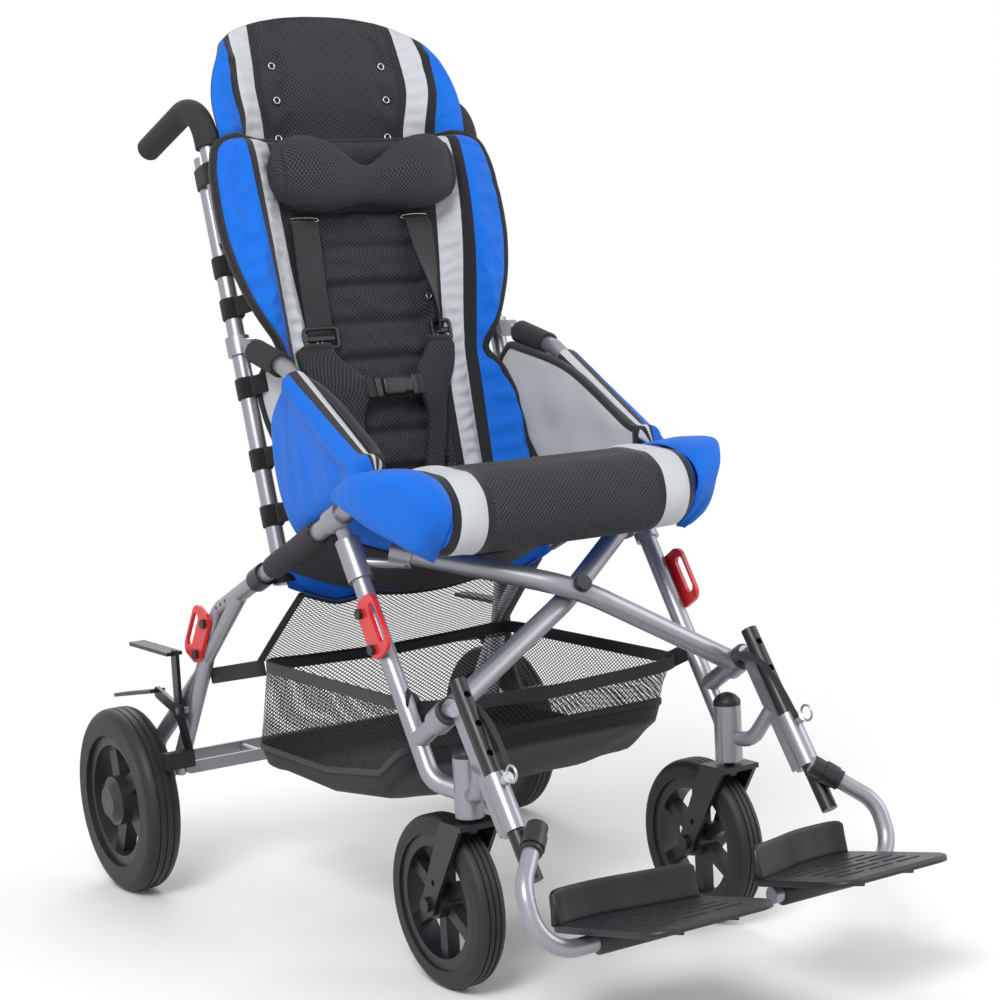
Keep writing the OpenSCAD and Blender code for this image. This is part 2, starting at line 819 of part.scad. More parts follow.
// Back cane with the armrest clamp and its lug
module back_cane() {
  c = cane_at(arm_z);
  color(silver)
    difference() {
      union() {
        rod(cane_foot, cane_top, tube_d);
        rod(c - cane_dir * clamp_l / 2, c + cane_dir * clamp_l / 2, clamp_d);
        translate([cane_half_w - lug_t - lug_gap / 2, arm_pivot[1], arm_pivot[2]]) {
          rotate([0, 90, 0]) cylinder(h = lug_t, r = lug_r);
          translate([0, 0, -lug_r]) cube([lug_t, lug_ahead, 2 * lug_r]);
          rotate([0, 90, 0]) cylinder(h = 2 * lug_t + lug_gap + overrun, d = lug_pin_d);
        }
      }
      for (share = handle_bolt_shares)
        bolt_hole(handle_bolt_seat(share), cane_ahead, bolt_d, handle_bolt_depth);
    }
}

// Push handle path: beside the cane, then bent back
handle_corner = handle_at(handle_corner_z);
handle_end = handle_corner + [0, handle_reach, -handle_reach * handle_drop_share];

module push_handle() {
  color(silver)
    difference() {
      bent_rod([handle_low, handle_corner, handle_end], handle_bend_r, tube_d);
      for (share = handle_bolt_shares)
        bolt_hole(handle_bolt_seat(share), cane_ahead, bolt_d, handle_bolt_depth);
    }
}

module handle_grip() {
  start = handle_at(grip_start_z);
  stop = handle_end + unit(handle_end - handle_corner) * grip_cap;
  color(black)
    difference() {
      bent_rod([start, handle_corner, stop], handle_bend_r, grip_d);
      bent_rod([start - cane_dir * overrun, handle_corner, handle_end], handle_bend_r,
        tube_d + 2 * fit_clear);
    }
}

// Hook-and-loop bands that tie the back pad to the cane
module cane_bands() {
  ring_d = tube_d + 2 * soft_clear;
  tab_y = back_gap - soft_clear - band_tab_t;
  color(cloth_black) {
    for (share = band_shares)
      framed(cane_part(share), cane_dir, cane_ahead)
        translate([0, 0, -band_l / 2])
          difference() {
            union() {
              cylinder(h = band_l, d = ring_d + 2 * band_wall);
              translate([-band_tab_t / 2, 0, 0]) cube([band_tab_t, tab_y + band_tab_t, band_l]);
              translate([-band_tab_t / 2, tab_y, 0]) cube([band_tab_l, band_tab_t, band_l]);
            }
            translate([0, 0, -overrun]) cylinder(h = band_l + 2 * overrun, d = ring_d);
          }
    framed(cane_part(top_band_share), cane_dir, cane_ahead)
      translate([0, 0, -band_l / 2])
        linear_extrude(band_l)
          difference() {
            stadium(ring_d + 2 * band_wall);
            stadium(ring_d);
          }
  }
}

module stadium(dia) {
  circle(d = dia);
  translate([0, handle_off]) circle(d = dia);
  translate([-dia / 2, 0]) square([dia, handle_off]);
}

// Armrest path: from the clamp lug forwards, then down to the seat rail
function rail_top(y) = rail_z(y) + tube_d / 2 / rail_dir[1];
arm_bend = [arm_x, arm_bend_y, arm_bend_z];
arm_front = [arm_x, arm_front_y, arm_front_z];
arm_hinge = [arm_x, arm_pivot[1], arm_pivot[2]];
arm_root = arm_hinge + unit(arm_bend - arm_hinge) * arm_start;
arm_foot_y = arm_front_y - arm_foot_ahead;
arm_foot = [rail_half_w, arm_foot_y, rail_top(arm_foot_y - arm_d / 2) + arm_rest_gap];
function arm_line(y) = y > arm_bend_y
  ? arm_bend_z + (y - arm_bend_y) * (arm_hinge[2] - arm_bend_z) / (arm_hinge[1] - arm_bend_y)
  : arm_front_z + (y - arm_front_y) * (arm_bend_z - arm_front_z) / (arm_bend_y - arm_front_y);

module arm_tube() {
  tongue_y = arm_root[1] - lug_r;
  color(silver)
    difference() {
      union() {
        bent_rod([arm_root, arm_bend, arm_front, arm_foot], arm_bend_r, arm_d);
        translate([arm_x - lug_t / 2, arm_pivot[1], arm_pivot[2]])
          rotate([0, 90, 0])
            cylinder(h = lug_t, r = lug_r);
        yz_bar(arm_x - lug_t / 2, lug_t, [arm_pivot[1], arm_pivot[2]], [tongue_y, arm_line(tongue_y)],
          arm_d - 2 * sleeve_wall);
      }
      rod(arm_hinge - across * lug_t, arm_hinge + across * lug_t, lug_pin_d + 2 * run_clear);
    }
}

module arm_grip() {
  u = unit(arm_bend - arm_hinge);
  start = arm_root + u * overrun;
  color(black)
    difference() {
      rod(start, start + u * arm_grip_l, arm_grip_d);
      rod(start - u * overrun, start + u * (arm_grip_l + overrun), arm_d + 2 * fit_clear);
    }
}

// Cloth panel hanging under the armrest
module arm_panel() {
  function reach(v) = panel_rear_low_y + (panel_rear_top_y - panel_rear_low_y) * v;
  function py(u, v) = panel_front_y + (reach(v) - panel_front_y) * u;
  function low(y) = rail_top(y) + panel_lift;
  function top(y) = arm_line(y) - panel_drop_share * (y > arm_bend_y ? arm_grip_d : arm_d) - soft_clear;
  function pz(u, v) = low(py(u, v)) + (top(py(u, v)) - low(py(u, v))) * v;
  function wave(u, v) = panel_wave * sin(540 * u + 60 * v) * (1 - v);
  color(blue)
    soft_slab(10, 8,
      function(u, v) [arm_x + panel_t / 2 + wave(u, v), py(u, v), pz(u, v)],
      function(u, v) [arm_x - panel_t / 2 + wave(u, v), py(u, v), pz(u, v)]);
}

// Caster fork with its stem, nut and axle
module caster_fork() {
  half = front_tyre_w / 2 + fork_gap;
  crown_z = front_wheel_d + crown_gap - crown_t;
  axle_z = front_r;
  color(black)
    translate([caster_half_w, caster_y, 0]) {
      translate([-half - fork_t, -crown_half_l, crown_z])
        cube([2 * (half + fork_t), 2 * crown_half_l, crown_t]);
      translate([0, 0, crown_z]) cylinder(h = housing_top_z - stem_top_gap - crown_z, d = stem_d);
      translate([0, 0, crown_z - nut_h]) cylinder(h = nut_h + overrun, d = nut_d, $fn = 6);
      for (x = [-half - fork_t, half])
        translate([x, 0, 0])
          rotate([90, 0, 90])
            linear_extrude(fork_t)
              difference() {
                union() {
                  polygon([[-crown_half_l, crown_z + crown_t], [crown_half_l, crown_z + crown_t],
                    [caster_trail + fork_foot_r, axle_z], [caster_trail - fork_foot_r, axle_z]]);
                  translate([caster_trail, axle_z]) circle(r = fork_foot_r);
                }
                translate([caster_trail * fork_hole_share, axle_z + fork_hole_rise]) circle(d = fork_hole_d);
              }
      translate([-half - fork_t - axle_head_h, caster_trail, axle_z])
        rotate([0, 90, 0]) {
          cylinder(h = axle_head_h, d = axle_head_d);
          cylinder(h = 2 * (half + fork_t + axle_head_h), d = front_axle_d);
          translate([0, 0, 2 * (half + fork_t) + axle_head_h])
          cylinder(h = axle_head_h, d = axle_head_d);
        }
    }
}

// A ring tyre with rounded shoulders and three tread grooves, standing on the floor
module tyre(dia, w, rim_d) {
  corner = w * tyre_corner_share;
  difference() {
    rotate_extrude() {
      translate([rim_d / 2 + fit_clear, -w / 2]) square([dia / 2 - corner - rim_d / 2 - fit_clear, w]);
      translate([rim_d / 2 + fit_clear, corner - w / 2])
        square([(dia - rim_d) / 2 - fit_clear, w - 2 * corner]);
      for (z = [corner - w / 2, w / 2 - corner])
        translate([dia / 2 - corner, z]) circle(r = corner);
    }
    for (z = [-w * groove_share, 0, w * groove_share])
      rotate_extrude()
        translate([dia / 2 - groove_t, z - groove_w / 2]) square([groove_t + overrun, groove_w]);
  }
}

module front_place() {
  translate([caster_half_w, caster_y + caster_trail, front_r]) rotate([0, 90, 0]) children();
}

module rear_place() {
  translate([rear_half_w, rear_axle_y, rear_r]) rotate([0, 90, 0]) children();
}

module front_tyre() {
  color(black) front_place() tyre(front_wheel_d, front_tyre_w, front_rim_d);
}

module rear_tyre() {
  color(black) rear_place() tyre(rear_wheel_d, rear_tyre_w, rear_rim_d);
}

module rim_ring(dia, w, t) {
  rotate_extrude() translate([dia / 2 - t, -w / 2]) square([t, w]);
}

module front_wheel() {
  hub_w = front_tyre_w + 2 * hub_side;
  root = front_hub_d * spoke_root_share;
  color(black)
    front_place()
      difference() {
        union() {
          rim_ring(front_rim_d, front_rim_w, front_rim_t);
          translate([0, 0, -hub_w / 2]) cylinder(h = hub_w, d = front_hub_d);
          for (i = [0 : front_spokes - 1])
            rotate(i * 360 / front_spokes)
              translate([root, -front_spoke_w / 2, -front_spoke_t / 2])
                cube([front_rim_d / 2 - front_rim_t / 2 - root, front_spoke_w, front_spoke_t]);
        }
        translate([0, 0, -hub_w]) cylinder(h = 2 * hub_w, d = front_axle_d + 2 * run_clear);
      }
}

module rear_wheel() {
  hub_w = rear_tyre_w - 2 * hub_side;
  root = rear_hub_d * spoke_root_share;
  bore_l = rear_rim_w / 2 - axle_end_gap + run_clear + hub_w / 2;
  color(grey)
    rear_place()
      difference() {
        union() {
          rim_ring(rear_rim_d, rear_rim_w, rear_rim_t);
          translate([0, 0, -hub_w / 2]) cylinder(h = hub_w, d = rear_hub_d);
          translate([0, 0, hub_w / 2])
            cylinder(h = hub_cap_h, d1 = hub_cap_d, d2 = hub_cap_d - 2 * hub_cap_h);
          for (i = [0 : rear_spokes - 1])
            rotate(i * 360 / rear_spokes)
              translate([root, 0, -rear_spoke_t / 2])
                rotate(rear_spoke_lean)
                  translate([0, -rear_spoke_w / 2, 0])
                    cube([rear_rim_d / 2 - rear_rim_t / 2 - root, rear_spoke_w, rear_spoke_t]);
        }
        translate([0, 0, -hub_w / 2 - overrun])
          cylinder(h = bore_l + overrun, d = rear_axle_d + 2 * run_clear);
      }
}

// Brake lever: a rocker bar with two pedals and a shoe ahead of the tyre
module brake_lever() {
  y = brake_pivot[1];
  z = brake_pivot[2];
  shoe_z = z - brake_down_l;
  pedal_y = y + pedal_low_l * pedal_start_share;
  shoe_drop = rear_r - shoe_z + shoe_h / 2;
  tyre_y = rear_axle_y - sqrt(rear_r * rear_r - shoe_drop * shoe_drop);
  shoe_y = tyre_y - shoe_gap - shoe_l;
  outer = rear_half_w + shoe_reach - brake_x - rear_tyre_w / 2;
  color(black)
    difference() {
      union() {
        translate([brake_x, y, z]) rotate([0, 90, 0]) cylinder(h = brake_t, d = brake_boss_d);
        yz_bar(brake_x, brake_t, [y, z], [y, z + brake_up_l], brake_bar_w);
        yz_bar(brake_x, brake_t, [y, z], [shoe_y + shoe_l / 2, shoe_z], brake_bar_w);
        yz_bar(brake_x, brake_t, [y, z], [pedal_y, z + pedal_low_lift], brake_bar_w);
        translate([brake_x, shoe_y, shoe_z - shoe_h / 2]) cube([outer, shoe_l, shoe_h]);
        translate([brake_x - pedal_in, y, z + brake_up_l]) cube([pedal_w, pedal_top_l, pedal_t]);
        translate([brake_x - pedal_in, pedal_y, z + pedal_low_lift])
          rotate([-pedal_low_fall, 0, 0])
            cube([pedal_w, pedal_low_l * (1 - pedal_start_share), pedal_t]);
      }
      translate([brake_x - pedal_w, y, z])
        rotate([0, 90, 0])
          cylinder(h = 2 * pedal_w, d = brake_pin_d + 2 * run_clear);
    }
}

// Sliding footrest tube with a row of holes and the socket for the foot arm
module slide_tube() {
  web = slide_at(foot_turn_z);
  color(black)
    difference() {
      union() {
        rod(slide_top, slide_foot, slide_d);
        rod(web, foot_turn, foot_web_d);
        rod(foot_turn - foot_axis * socket_l / 2, foot_turn + foot_axis * socket_l / 2,
          slide_d + 2 * socket_wall + 2 * run_clear);
      }
      rod(foot_turn - foot_axis * socket_l, foot_turn + foot_axis * socket_l, slide_d + 2 * run_clear);
      for (share = slide_hole_shares)
        rod(slide_part(share), slide_part(share) + slide_ahead * slide_d, pin_d);
    }
}

module foot_arm() {
  color(silver)
    bent_rod([foot_turn + foot_axis * foot_in_l, foot_turn - foot_axis * foot_out_l, foot_corner,
      [foot_tube_end_x, foot_tube_y, foot_tube_z]], foot_bend_r, slide_d);
}

// Knob and collar that keep the foot arm in its socket
module foot_collars() {
  bore_d = slide_d + 2 * fit_clear;
  a = foot_turn + foot_axis * (socket_l / 2 + side_gap);
  b = foot_turn - foot_axis * (socket_l / 2 + side_gap);
  color(black)
    difference() {
      union() {
        rod(a, a + foot_axis * knob_l, knob_d);
        rod(b, b - foot_axis * collar_l, knob_d);
      }
      rod(foot_turn - foot_axis * knob_d, foot_turn + foot_axis * 2 * knob_d, bore_d);
    }
}

// Footplate with its sleeve and curved heel wall
module footplate() {
  mid_x = plate_inner_x + plate_w / 2;
  heel_r = (plate_w * plate_w / 4 + heel_bulge * heel_bulge) / (2 * heel_bulge);
  heel_y = plate_heel + heel_bulge - heel_r;
  plate_z = foot_sleeve_d / 2 - overrun;
  color(black)
    translate([0, foot_tube_y, foot_tube_z])
      rotate([-plate_pitch, 0, 0])
        difference() {
          union() {
            translate([foot_tube_end_x + foot_sleeve_in, 0, 0])
              rotate([0, 90, 0])
                cylinder(h = foot_sleeve_l, d = foot_sleeve_d);
            translate([0, 0, plate_z])
              linear_extrude(plate_t)
                difference() {
                  union() {
                    translate([plate_inner_x, plate_heel - plate_l])
                      rounded_rect(plate_w, plate_l, plate_corner_r);
                    heel_band(mid_x, heel_y, heel_r, plate_heel);
                  }
                  for (i = [0 : plate_slots - 1])
                    translate([mid_x - plate_w * slot_share / 2, -foot_sleeve_d - i * slot_pitch])
                      rounded_rect(plate_w * slot_share, plate_slot_w, plate_slot_w * slot_round_share);
                }
            translate([0, 0, plate_z])
              linear_extrude(plate_t + heel_h)
                difference() {
                  heel_band(mid_x, heel_y, heel_r, heel_t);
                  translate([mid_x, heel_y]) circle(r = heel_r - heel_t);
                }
          }
          translate([foot_tube_end_x, 0, 0])
            rotate([0, 90, 0])
              cylinder(h = 2 * foot_sleeve_l, d = slide_d + 2 * run_clear);
        }
}

// The curved strip behind the heel, cut to the plate's width
module heel_band(x, y, r, depth) {
  intersection() {
    translate([x, y]) circle(r = r);
    translate([x - plate_w / 2, plate_heel - depth]) square([plate_w, depth + heel_bulge + overrun]);
  }
}

module pull_pin() {
  color(silver)
    framed(pin_seat, slide_ahead, across) {
      translate([0, 0, pin_short - sleeve_wall]) cylinder(h = sleeve_wall - pin_short + pin_stand, d = pin_d);
      translate([0, 0, pin_stand - pin_head_h]) cylinder(h = pin_head_h, d = pin_head_d);
      translate([0, 0, pin_stand + pin_ring_r - pin_wire_d / 2])
        rotate([90, 0, 0])
          rotate_extrude()
            translate([pin_ring_r, 0])
              circle(d = pin_wire_d);
    }
}

// Webbing lanyard from the stub collar to the pull pin
module lanyard() {
  a = stub_root + leg_ahead * (brace_sleeve_ahead + brace_sleeve_l / 2 + collar_gap + collar_l / 2);
  e = pin_seat + slide_ahead * (pin_stand - pin_head_h / 2);
  b = a + leg_ahead * lanyard_out - leg_dir * lanyard_out * lanyard_dip_share;
  c = e - slide_dir * lanyard_out;
  xa = leg_half_w - tube_d / 2 - collar_wall - soft_clear - lanyard_t;
  xe = foot_half_w - pin_head_d / 2 - soft_clear - lanyard_t;
  function path(s) = a * pow(1 - s, 3) + b * 3 * s * pow(1 - s, 2) + c * 3 * s * s * (1 - s) + e * pow(s, 3);
  function run(s) = unit(path(min(1, s + lanyard_step_share)) - path(max(0, s - lanyard_step_share)));
  function edge(s, v) = path(s) + [0, -run(s)[2], run(s)[1]] * lanyard_w * (2 * v - 1) / 2;
  function point(s, v, t) = [xa + (xe - xa) * s + t, edge(s, v)[1], edge(s, v)[2]];
  color(cloth_black)
    soft_slab(14, 1, function(u, v) point(u, v, 0), function(u, v) point(u, v, lanyard_t));
}

// Two flat bars hinged to the rear leg end, with a spacer and their hinge pin
module spread_bars(stand) {
  p = spreader_pivot;
  in = tube_d / 2 + stand;
  reach = in + bar_t + bar_gap;
  color(silver) {
    for (y = [-in - bar_t, in])
      translate([0, p[1] + y, p[2]]) {
        translate([-bar_lap, 0, -bar_w / 2]) cube([p[0] + bar_lap, bar_t, bar_w]);
        translate([p[0], 0, 0]) rotate([-90, 0, 0]) cylinder(h = bar_t, d = bar_w);
      }
    rod(p - [0, reach, 0], p + [0, reach, 0], bar_pin_d);
    rod([spacer_x, p[1] - in - overrun, p[2]], [spacer_x, p[1] + in + overrun, p[2]], spacer_d);
  }
}

// Brace tubes: each turns on one stub and rests its other end in the opposite cup
function brace_path(side, ahead) = [
  brace_at(side * leg_half_w, brace_sleeve_ahead, 0),
  brace_at(0, ahead, brace_rise),
  brace_at(-side * brace_end_x, brace_top_ahead, brace_top_rise)
];

module brace_tube(side, ahead, bolt_clear) {
  p = brace_at(side * leg_half_w, brace_sleeve_ahead, 0);
  c = brace_at(0, ahead, brace_rise);
  color(silver)
    difference() {
      union() {
        bent_rod(brace_path(side, ahead), brace_bend_r, brace_d);
        rod(p - leg_ahead * brace_sleeve_l / 2, p + leg_ahead * brace_sleeve_l / 2, brace_sleeve_d);
      }
      rod(p - leg_ahead * brace_sleeve_l, p + leg_ahead * brace_sleeve_l, tube_d + 2 * run_clear);
      rod(c - leg_ahead * brace_d, c + leg_ahead * brace_d, brace_bolt_d + 2 * bolt_clear);
    }
}

module brace_a() {
  brace_tube(1, brace_a_ahead, fit_clear);
}

module brace_b() {
  brace_tube(-1, brace_b_ahead, run_clear);
}

// How far a bend's middle lies inside its corner
function bend_sag(p, r) = r * (1 / cos(acos(unit(p[1] - p[0]) * unit(p[2] - p[1])) / 2) - 1);

module brace_bolt() {
  front = brace_a_ahead - bend_sag(brace_path(1, brace_a_ahead), brace_bend_r) + brace_d / 2;
  rear = brace_b_ahead - bend_sag(brace_path(-1, brace_b_ahead), brace_bend_r) - brace_d / 2;
  a = brace_at(0, front + brace_head_gap, brace_rise);
  b = brace_at(0, rear - brace_nut_gap, brace_rise);
  color(black) {
    rod(b - leg_ahead * brace_head_h, a + leg_ahead * brace_head_h, brace_bolt_d);
    rod(a, a + leg_ahead * brace_head_h, brace_head_d);
    rod(b - leg_ahead * brace_head_h, b, brace_head_d);
  }
}

// Seat sling: a sagging sheet with a sleeve round each seat rail
function sling_z(x, y) = rail_z(y) - sling_sag * (1 - pow(x / sling_half_w, 2));

module seat_sling() {
  function sx(u) = (2 * u - 1) * sling_half_w;
  function sy(v) = rail_sleeve_rear + (rail_sleeve_front - rail_sleeve_rear) * v;
  ring_d = tube_d + 2 * soft_clear;
  a = rail_at(rail_sleeve_front);
  b = rail_at(rail_sleeve_rear);
  color(cloth_black) {
    soft_slab(16, 4,
      function(u, v) [sx(u), sy(v), sling_z(sx(u), sy(v)) - sling_t],
      function(u, v) [sx(u), sy(v), sling_z(sx(u), sy(v))]);
    rail_sleeve(a, b, ring_d);
    mirrored() rail_sleeve(a, b, ring_d);
  }
}

module rail_sleeve(a, b, ring_d) {
  difference() {
    rod(a, b, ring_d + 2 * rail_sleeve_wall);
    rod(a - rail_dir * overrun, b + rail_dir * overrun, ring_d);
  }
}

// Share of full thickness near the edges of a pad, falling from the middle to a rounded border
function edge_share(u, power) = edge_low_share + (1 - edge_low_share) * sqrt(1 - pow(abs(2 * u - 1), power));
function ramp_share(v, from, to) = min(1, max(0, (v - from) / (to - from)));
function smooth_share(v) = v * v * (3 - 2 * v);

// How far the back and the head pad sag between their wings, which stay ahead of the canes
function hollow_share(x) = 1 - smooth_share(ramp_share(abs(x), dip_from_x, dip_to_x));
function back_share(z) = (z - back_low_z) / (back_top_z - back_low_z);
function back_sag(x, z) = back_dip * lookup(back_share(z), back_dip_shares) * hollow_share(x);
function back_face(x, z, clear) = back_gap + back_t + clear - back_sag(x, z);

module seat_pad() {
  drop = rail_z(seat_front_y) - seat_front_z;
  function flare(v) = ramp_share(v, flare_from_share, flare_to_share);
  function sx(u, v) = (2 * u - 1) * (seat_half_w + seat_flare * flare(v));
  function sy(v) = seat_rear_y + (seat_front_y - seat_rear_y) * v;
  function base(v) = rail_z(sy(v)) - drop * pow(ramp_share(v, nose_from_share, 1), 2);
  function lift(v) = seat_lift + (seat_front_half_t - seat_lift) * ramp_share(v, nose_from_share, 1);
  function top(u, v) = base(v) + lift(v) * edge_share(u, 10) * edge_share(v, 14);
  function blend(v) = ramp_share(v, under_from_share, under_to_share);
  function hung(u, v) = sling_z(sx(u, v), sy(v)) + soft_clear;
  function nose(u, v) = base(v) - seat_front_half_t * edge_share(u, 10) * edge_share(v, 14);
  function low(u, v) = hung(u, v) * (1 - blend(v)) + nose(u, v) * blend(v);
  color(blue)
    soft_slab(16, 20,
      function(u, v) [sx(u, v), sy(v), low(u, v)],
      function(u, v) [sx(u, v), sy(v), top(u, v)]);
}

module back_pad() {
  function bx(u, v) = (2 * u - 1) * back_half_w * lookup(v, back_width_shares);
  function bz(v) = back_low_z + (back_top_z - back_low_z) * v;
  function mesh(u) = 1 - ramp_share(abs(2 * u - 1), mesh_from_share, mesh_to_share);
  function groove(u, v) = channel_share * abs(cos(180 * back_channels * v)) * mesh(u);
  function thick(u, v) = back_t * edge_share(u, 6) * edge_share(v, 20) * (1 - groove(u, v));
  function rear(u, v) = back_gap - back_sag(bx(u, v), bz(v));
  color(blue)
    soft_slab(20, 2 * back_channels,
      function(u, v) back_at(bx(u, v), bz(v), rear(u, v) + thick(u, v)),
      function(u, v) back_at(bx(u, v), bz(v), rear(u, v)));
}

module head_pad() {
  function hx(u, v) = (2 * u - 1) * head_half_w * lookup(v, head_width_shares);
  function hz(v) = head_low_z + (head_top_z - head_low_z) * v;
  function thick(u, v) = head_t * edge_share(u, 6) * edge_share(v, 12);
  function rear(u, v) = head_gap - back_dip * lookup(v, head_dip_shares) * hollow_share(hx(u, v));
  color(blue)
    soft_slab(20, 16,
      function(u, v) back_at(hx(u, v), hz(v), rear(u, v) + thick(u, v)),
      function(u, v) back_at(hx(u, v), hz(v), rear(u, v)));
}

module headrest() {
  mid_z = (headrest_low_z + headrest_top_z) / 2;
  half_h = (headrest_top_z - headrest_low_z) / 2;
  function notch(u) = 1 - headrest_notch_share * exp(-pow((2 * u - 1) / notch_width_share, 2));
  function tall(u) = half_h * notch(u) * edge_share(u, 5);
  function thick(u, v) = headrest_t * notch(u) * edge_share(u, 4) * edge_share(v, 4);
  function hx(u) = (2 * u - 1) * headrest_half_w;
  function hz(u, v) = mid_z + (2 * v - 1) * tall(u);
  function rear(u, v) = back_face(hx(u), hz(u, v), lie_clear);
  color(cloth_black)
    soft_slab(18, 10,
      function(u, v) back_at(hx(u), hz(u, v), rear(u, v) + thick(u, v)),
      function(u, v) back_at(hx(u), hz(u, v), rear(u, v)));
}

// A strip of webbing lying on the back pad between two places
module strip(xa, za, xb, zb, w, lift, t) {
  turn = unit([zb - za, xa - xb]);
  function px(u, v) = xa + (xb - xa) * v + turn[0] * w * (2 * u - 1) / 2;
  function pz(u, v) = za + (zb - za) * v + turn[1] * w * (2 * u - 1) / 2;
  function near(u, v) = back_face(px(u, v), pz(u, v), soft_clear) + lift;
  soft_slab(1, 4,
    function(u, v) back_at(px(u, v), pz(u, v), near(u, v) + t),
    function(u, v) back_at(px(u, v), pz(u, v), near(u, v)));
}

// Harness: shoulder straps, chest vest, lower straps and the buckle
module harness() {
  color(cloth_black) {
    for (s = [-1, 1]) {
      strip(s * strap_x, headrest_low_z - strap_t, s * strap_x, strap_low_z, strap_w, 0, strap_t);
      strip(s * strap_x, strap_low_z + strap_w, s * vest_x, vest_low_z, vest_w, 0, 2 * strap_t);
      strip(s * vest_x, vest_low_z + strap_w, s * strap_x, back_low_z + strap_w, strap_w, 0, strap_t);
    }
    strip(-vest_x, vest_bar_z, vest_x, vest_bar_z, vest_w, 0, 2 * strap_t);
    strip(0, vest_bar_z - buckle_h / 2, 0, vest_bar_z + buckle_h / 2, buckle_w, strap_t, buckle_t);
  }
}

// Basket: an open tub of cloth hung from the seat rails and banded to the front legs
module basket() {
  w = basket_wall;
  rim = basket_rim_z;
  front_foot = [basket_front_foot_y, basket_front_foot_z];
  outer = [[basket_rear_y, rim], [basket_rear_foot_y, basket_low_z], [basket_mid_y, basket_low_z],
    front_foot, [basket_front_y, rim]];
  inner = [[basket_rear_y - w, rim + overrun], [basket_rear_foot_y - w, basket_low_z + w],
    [basket_mid_y, basket_low_z + w], front_foot + [w, w], [basket_front_y + w, rim + overrun]];
  color(cloth_black) {
    difference() {
      yz_plate(basket_half_w, outer);
      yz_plate(basket_half_w - w, inner);
    }
    basket_hangers();
    mirrored() basket_hangers();
  }
}

module yz_plate(half, outline) {
  translate([-half, 0, 0]) rotate([90, 0, 90]) linear_extrude(2 * half) polygon(outline);
}

module basket_hangers() {
  p = leg_at(basket_band_z);
  q = rail_at(basket_hang_y);
  ring_d = tube_d + 2 * soft_clear;
  x = basket_half_w - basket_wall;
  strap_foot = [x + basket_wall / 2, basket_hang_y, basket_rim_z - basket_band_l];
  difference() {
    union() {
      rod(p - leg_dir * basket_band_l / 2, p + leg_dir * basket_band_l / 2, ring_d + 2 * basket_wall);
      translate([x, p[1], p[2] - basket_band_l / 2])
        cube([leg_half_w - x, basket_front_y - p[1] + basket_band_l, basket_wall]);
    }
    rod(p - leg_dir * basket_band_l, p + leg_dir * basket_band_l, ring_d);
  }
  difference() {
    union() {
      rod(q - rail_dir * basket_hang_l / 2, q + rail_dir * basket_hang_l / 2, ring_d + 2 * basket_wall);
      along(strap_foot, q)
        translate([-basket_wall / 2, -basket_strap_w / 2, 0])
          cube([basket_wall, basket_strap_w, norm(q - strap_foot)]);
    }
    rod(q - rail_dir * basket_hang_l, q + rail_dir * basket_hang_l, ring_d);
  }
}

// One line for each node
side_rail();  // left_side_rail
mirrored() side_rail();  // right_side_rail
front_frame();  // left_front_frame
mirrored() front_frame();  // right_front_frame
rail_bracket(brace_b_ahead);  // left_rail_bracket
mirrored() rail_bracket(brace_a_ahead);  // right_rail_bracket
fittings();  // left_fittings
mirrored() fittings();  // right_fittings
tie_downs();  // left_tie_downs
mirrored() tie_downs();  // right_tie_downs
back_cane();  // left_back_cane
mirrored() back_cane();  // right_back_cane
push_handle();  // left_push_handle
mirrored() push_handle();  // right_push_handle
handle_grip();  // left_handle_grip
mirrored() handle_grip();  // right_handle_grip
cane_bands();  // left_cane_bands
mirrored() cane_bands();  // right_cane_bands
arm_tube();  // left_arm_tube
mirrored() arm_tube();  // right_arm_tube
arm_grip();  // left_arm_grip
mirrored() arm_grip();  // right_arm_grip
arm_panel();  // left_arm_panel
mirrored() arm_panel();  // right_arm_panel
caster_fork();  // left_caster_fork
mirrored() caster_fork();  // right_caster_fork
front_wheel();  // left_front_wheel
mirrored() front_wheel();  // right_front_wheel
front_tyre();  // left_front_tyre
mirrored() front_tyre();  // right_front_tyre
rear_wheel();  // left_rear_wheel
mirrored() rear_wheel();  // right_rear_wheel
rear_tyre();  // left_rear_tyre
mirrored() rear_tyre();  // right_rear_tyre
brake_lever();  // left_brake_lever
mirrored() brake_lever();  // right_brake_lever
slide_tube();  // left_slide_tube
mirrored() slide_tube();  // right_slide_tube
foot_arm();  // left_foot_arm
mirrored() foot_arm();  // right_foot_arm
foot_collars();  // left_foot_collars
mirrored() foot_collars();  // right_foot_collars
footplate();  // left_footplate
mirrored() footplate();  // right_footplate
pull_pin();  // left_pull_pin
mirrored() pull_pin();  // right_pull_pin
lanyard();  // left_lanyard
mirrored() lanyard();  // right_lanyard
spread_bars(bar_stand);  // left_spread_bars
mirrored() spread_bars(bar_stand + bar_t + bar_gap);  // right_spread_bars
brace_a();
brace_b();
brace_bolt();
seat_sling();
seat_pad();
back_pad();
head_pad();
headrest();
harness();
basket();
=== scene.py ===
import bmesh
import bpy
import numpy as np
from mathutils import Matrix, Vector


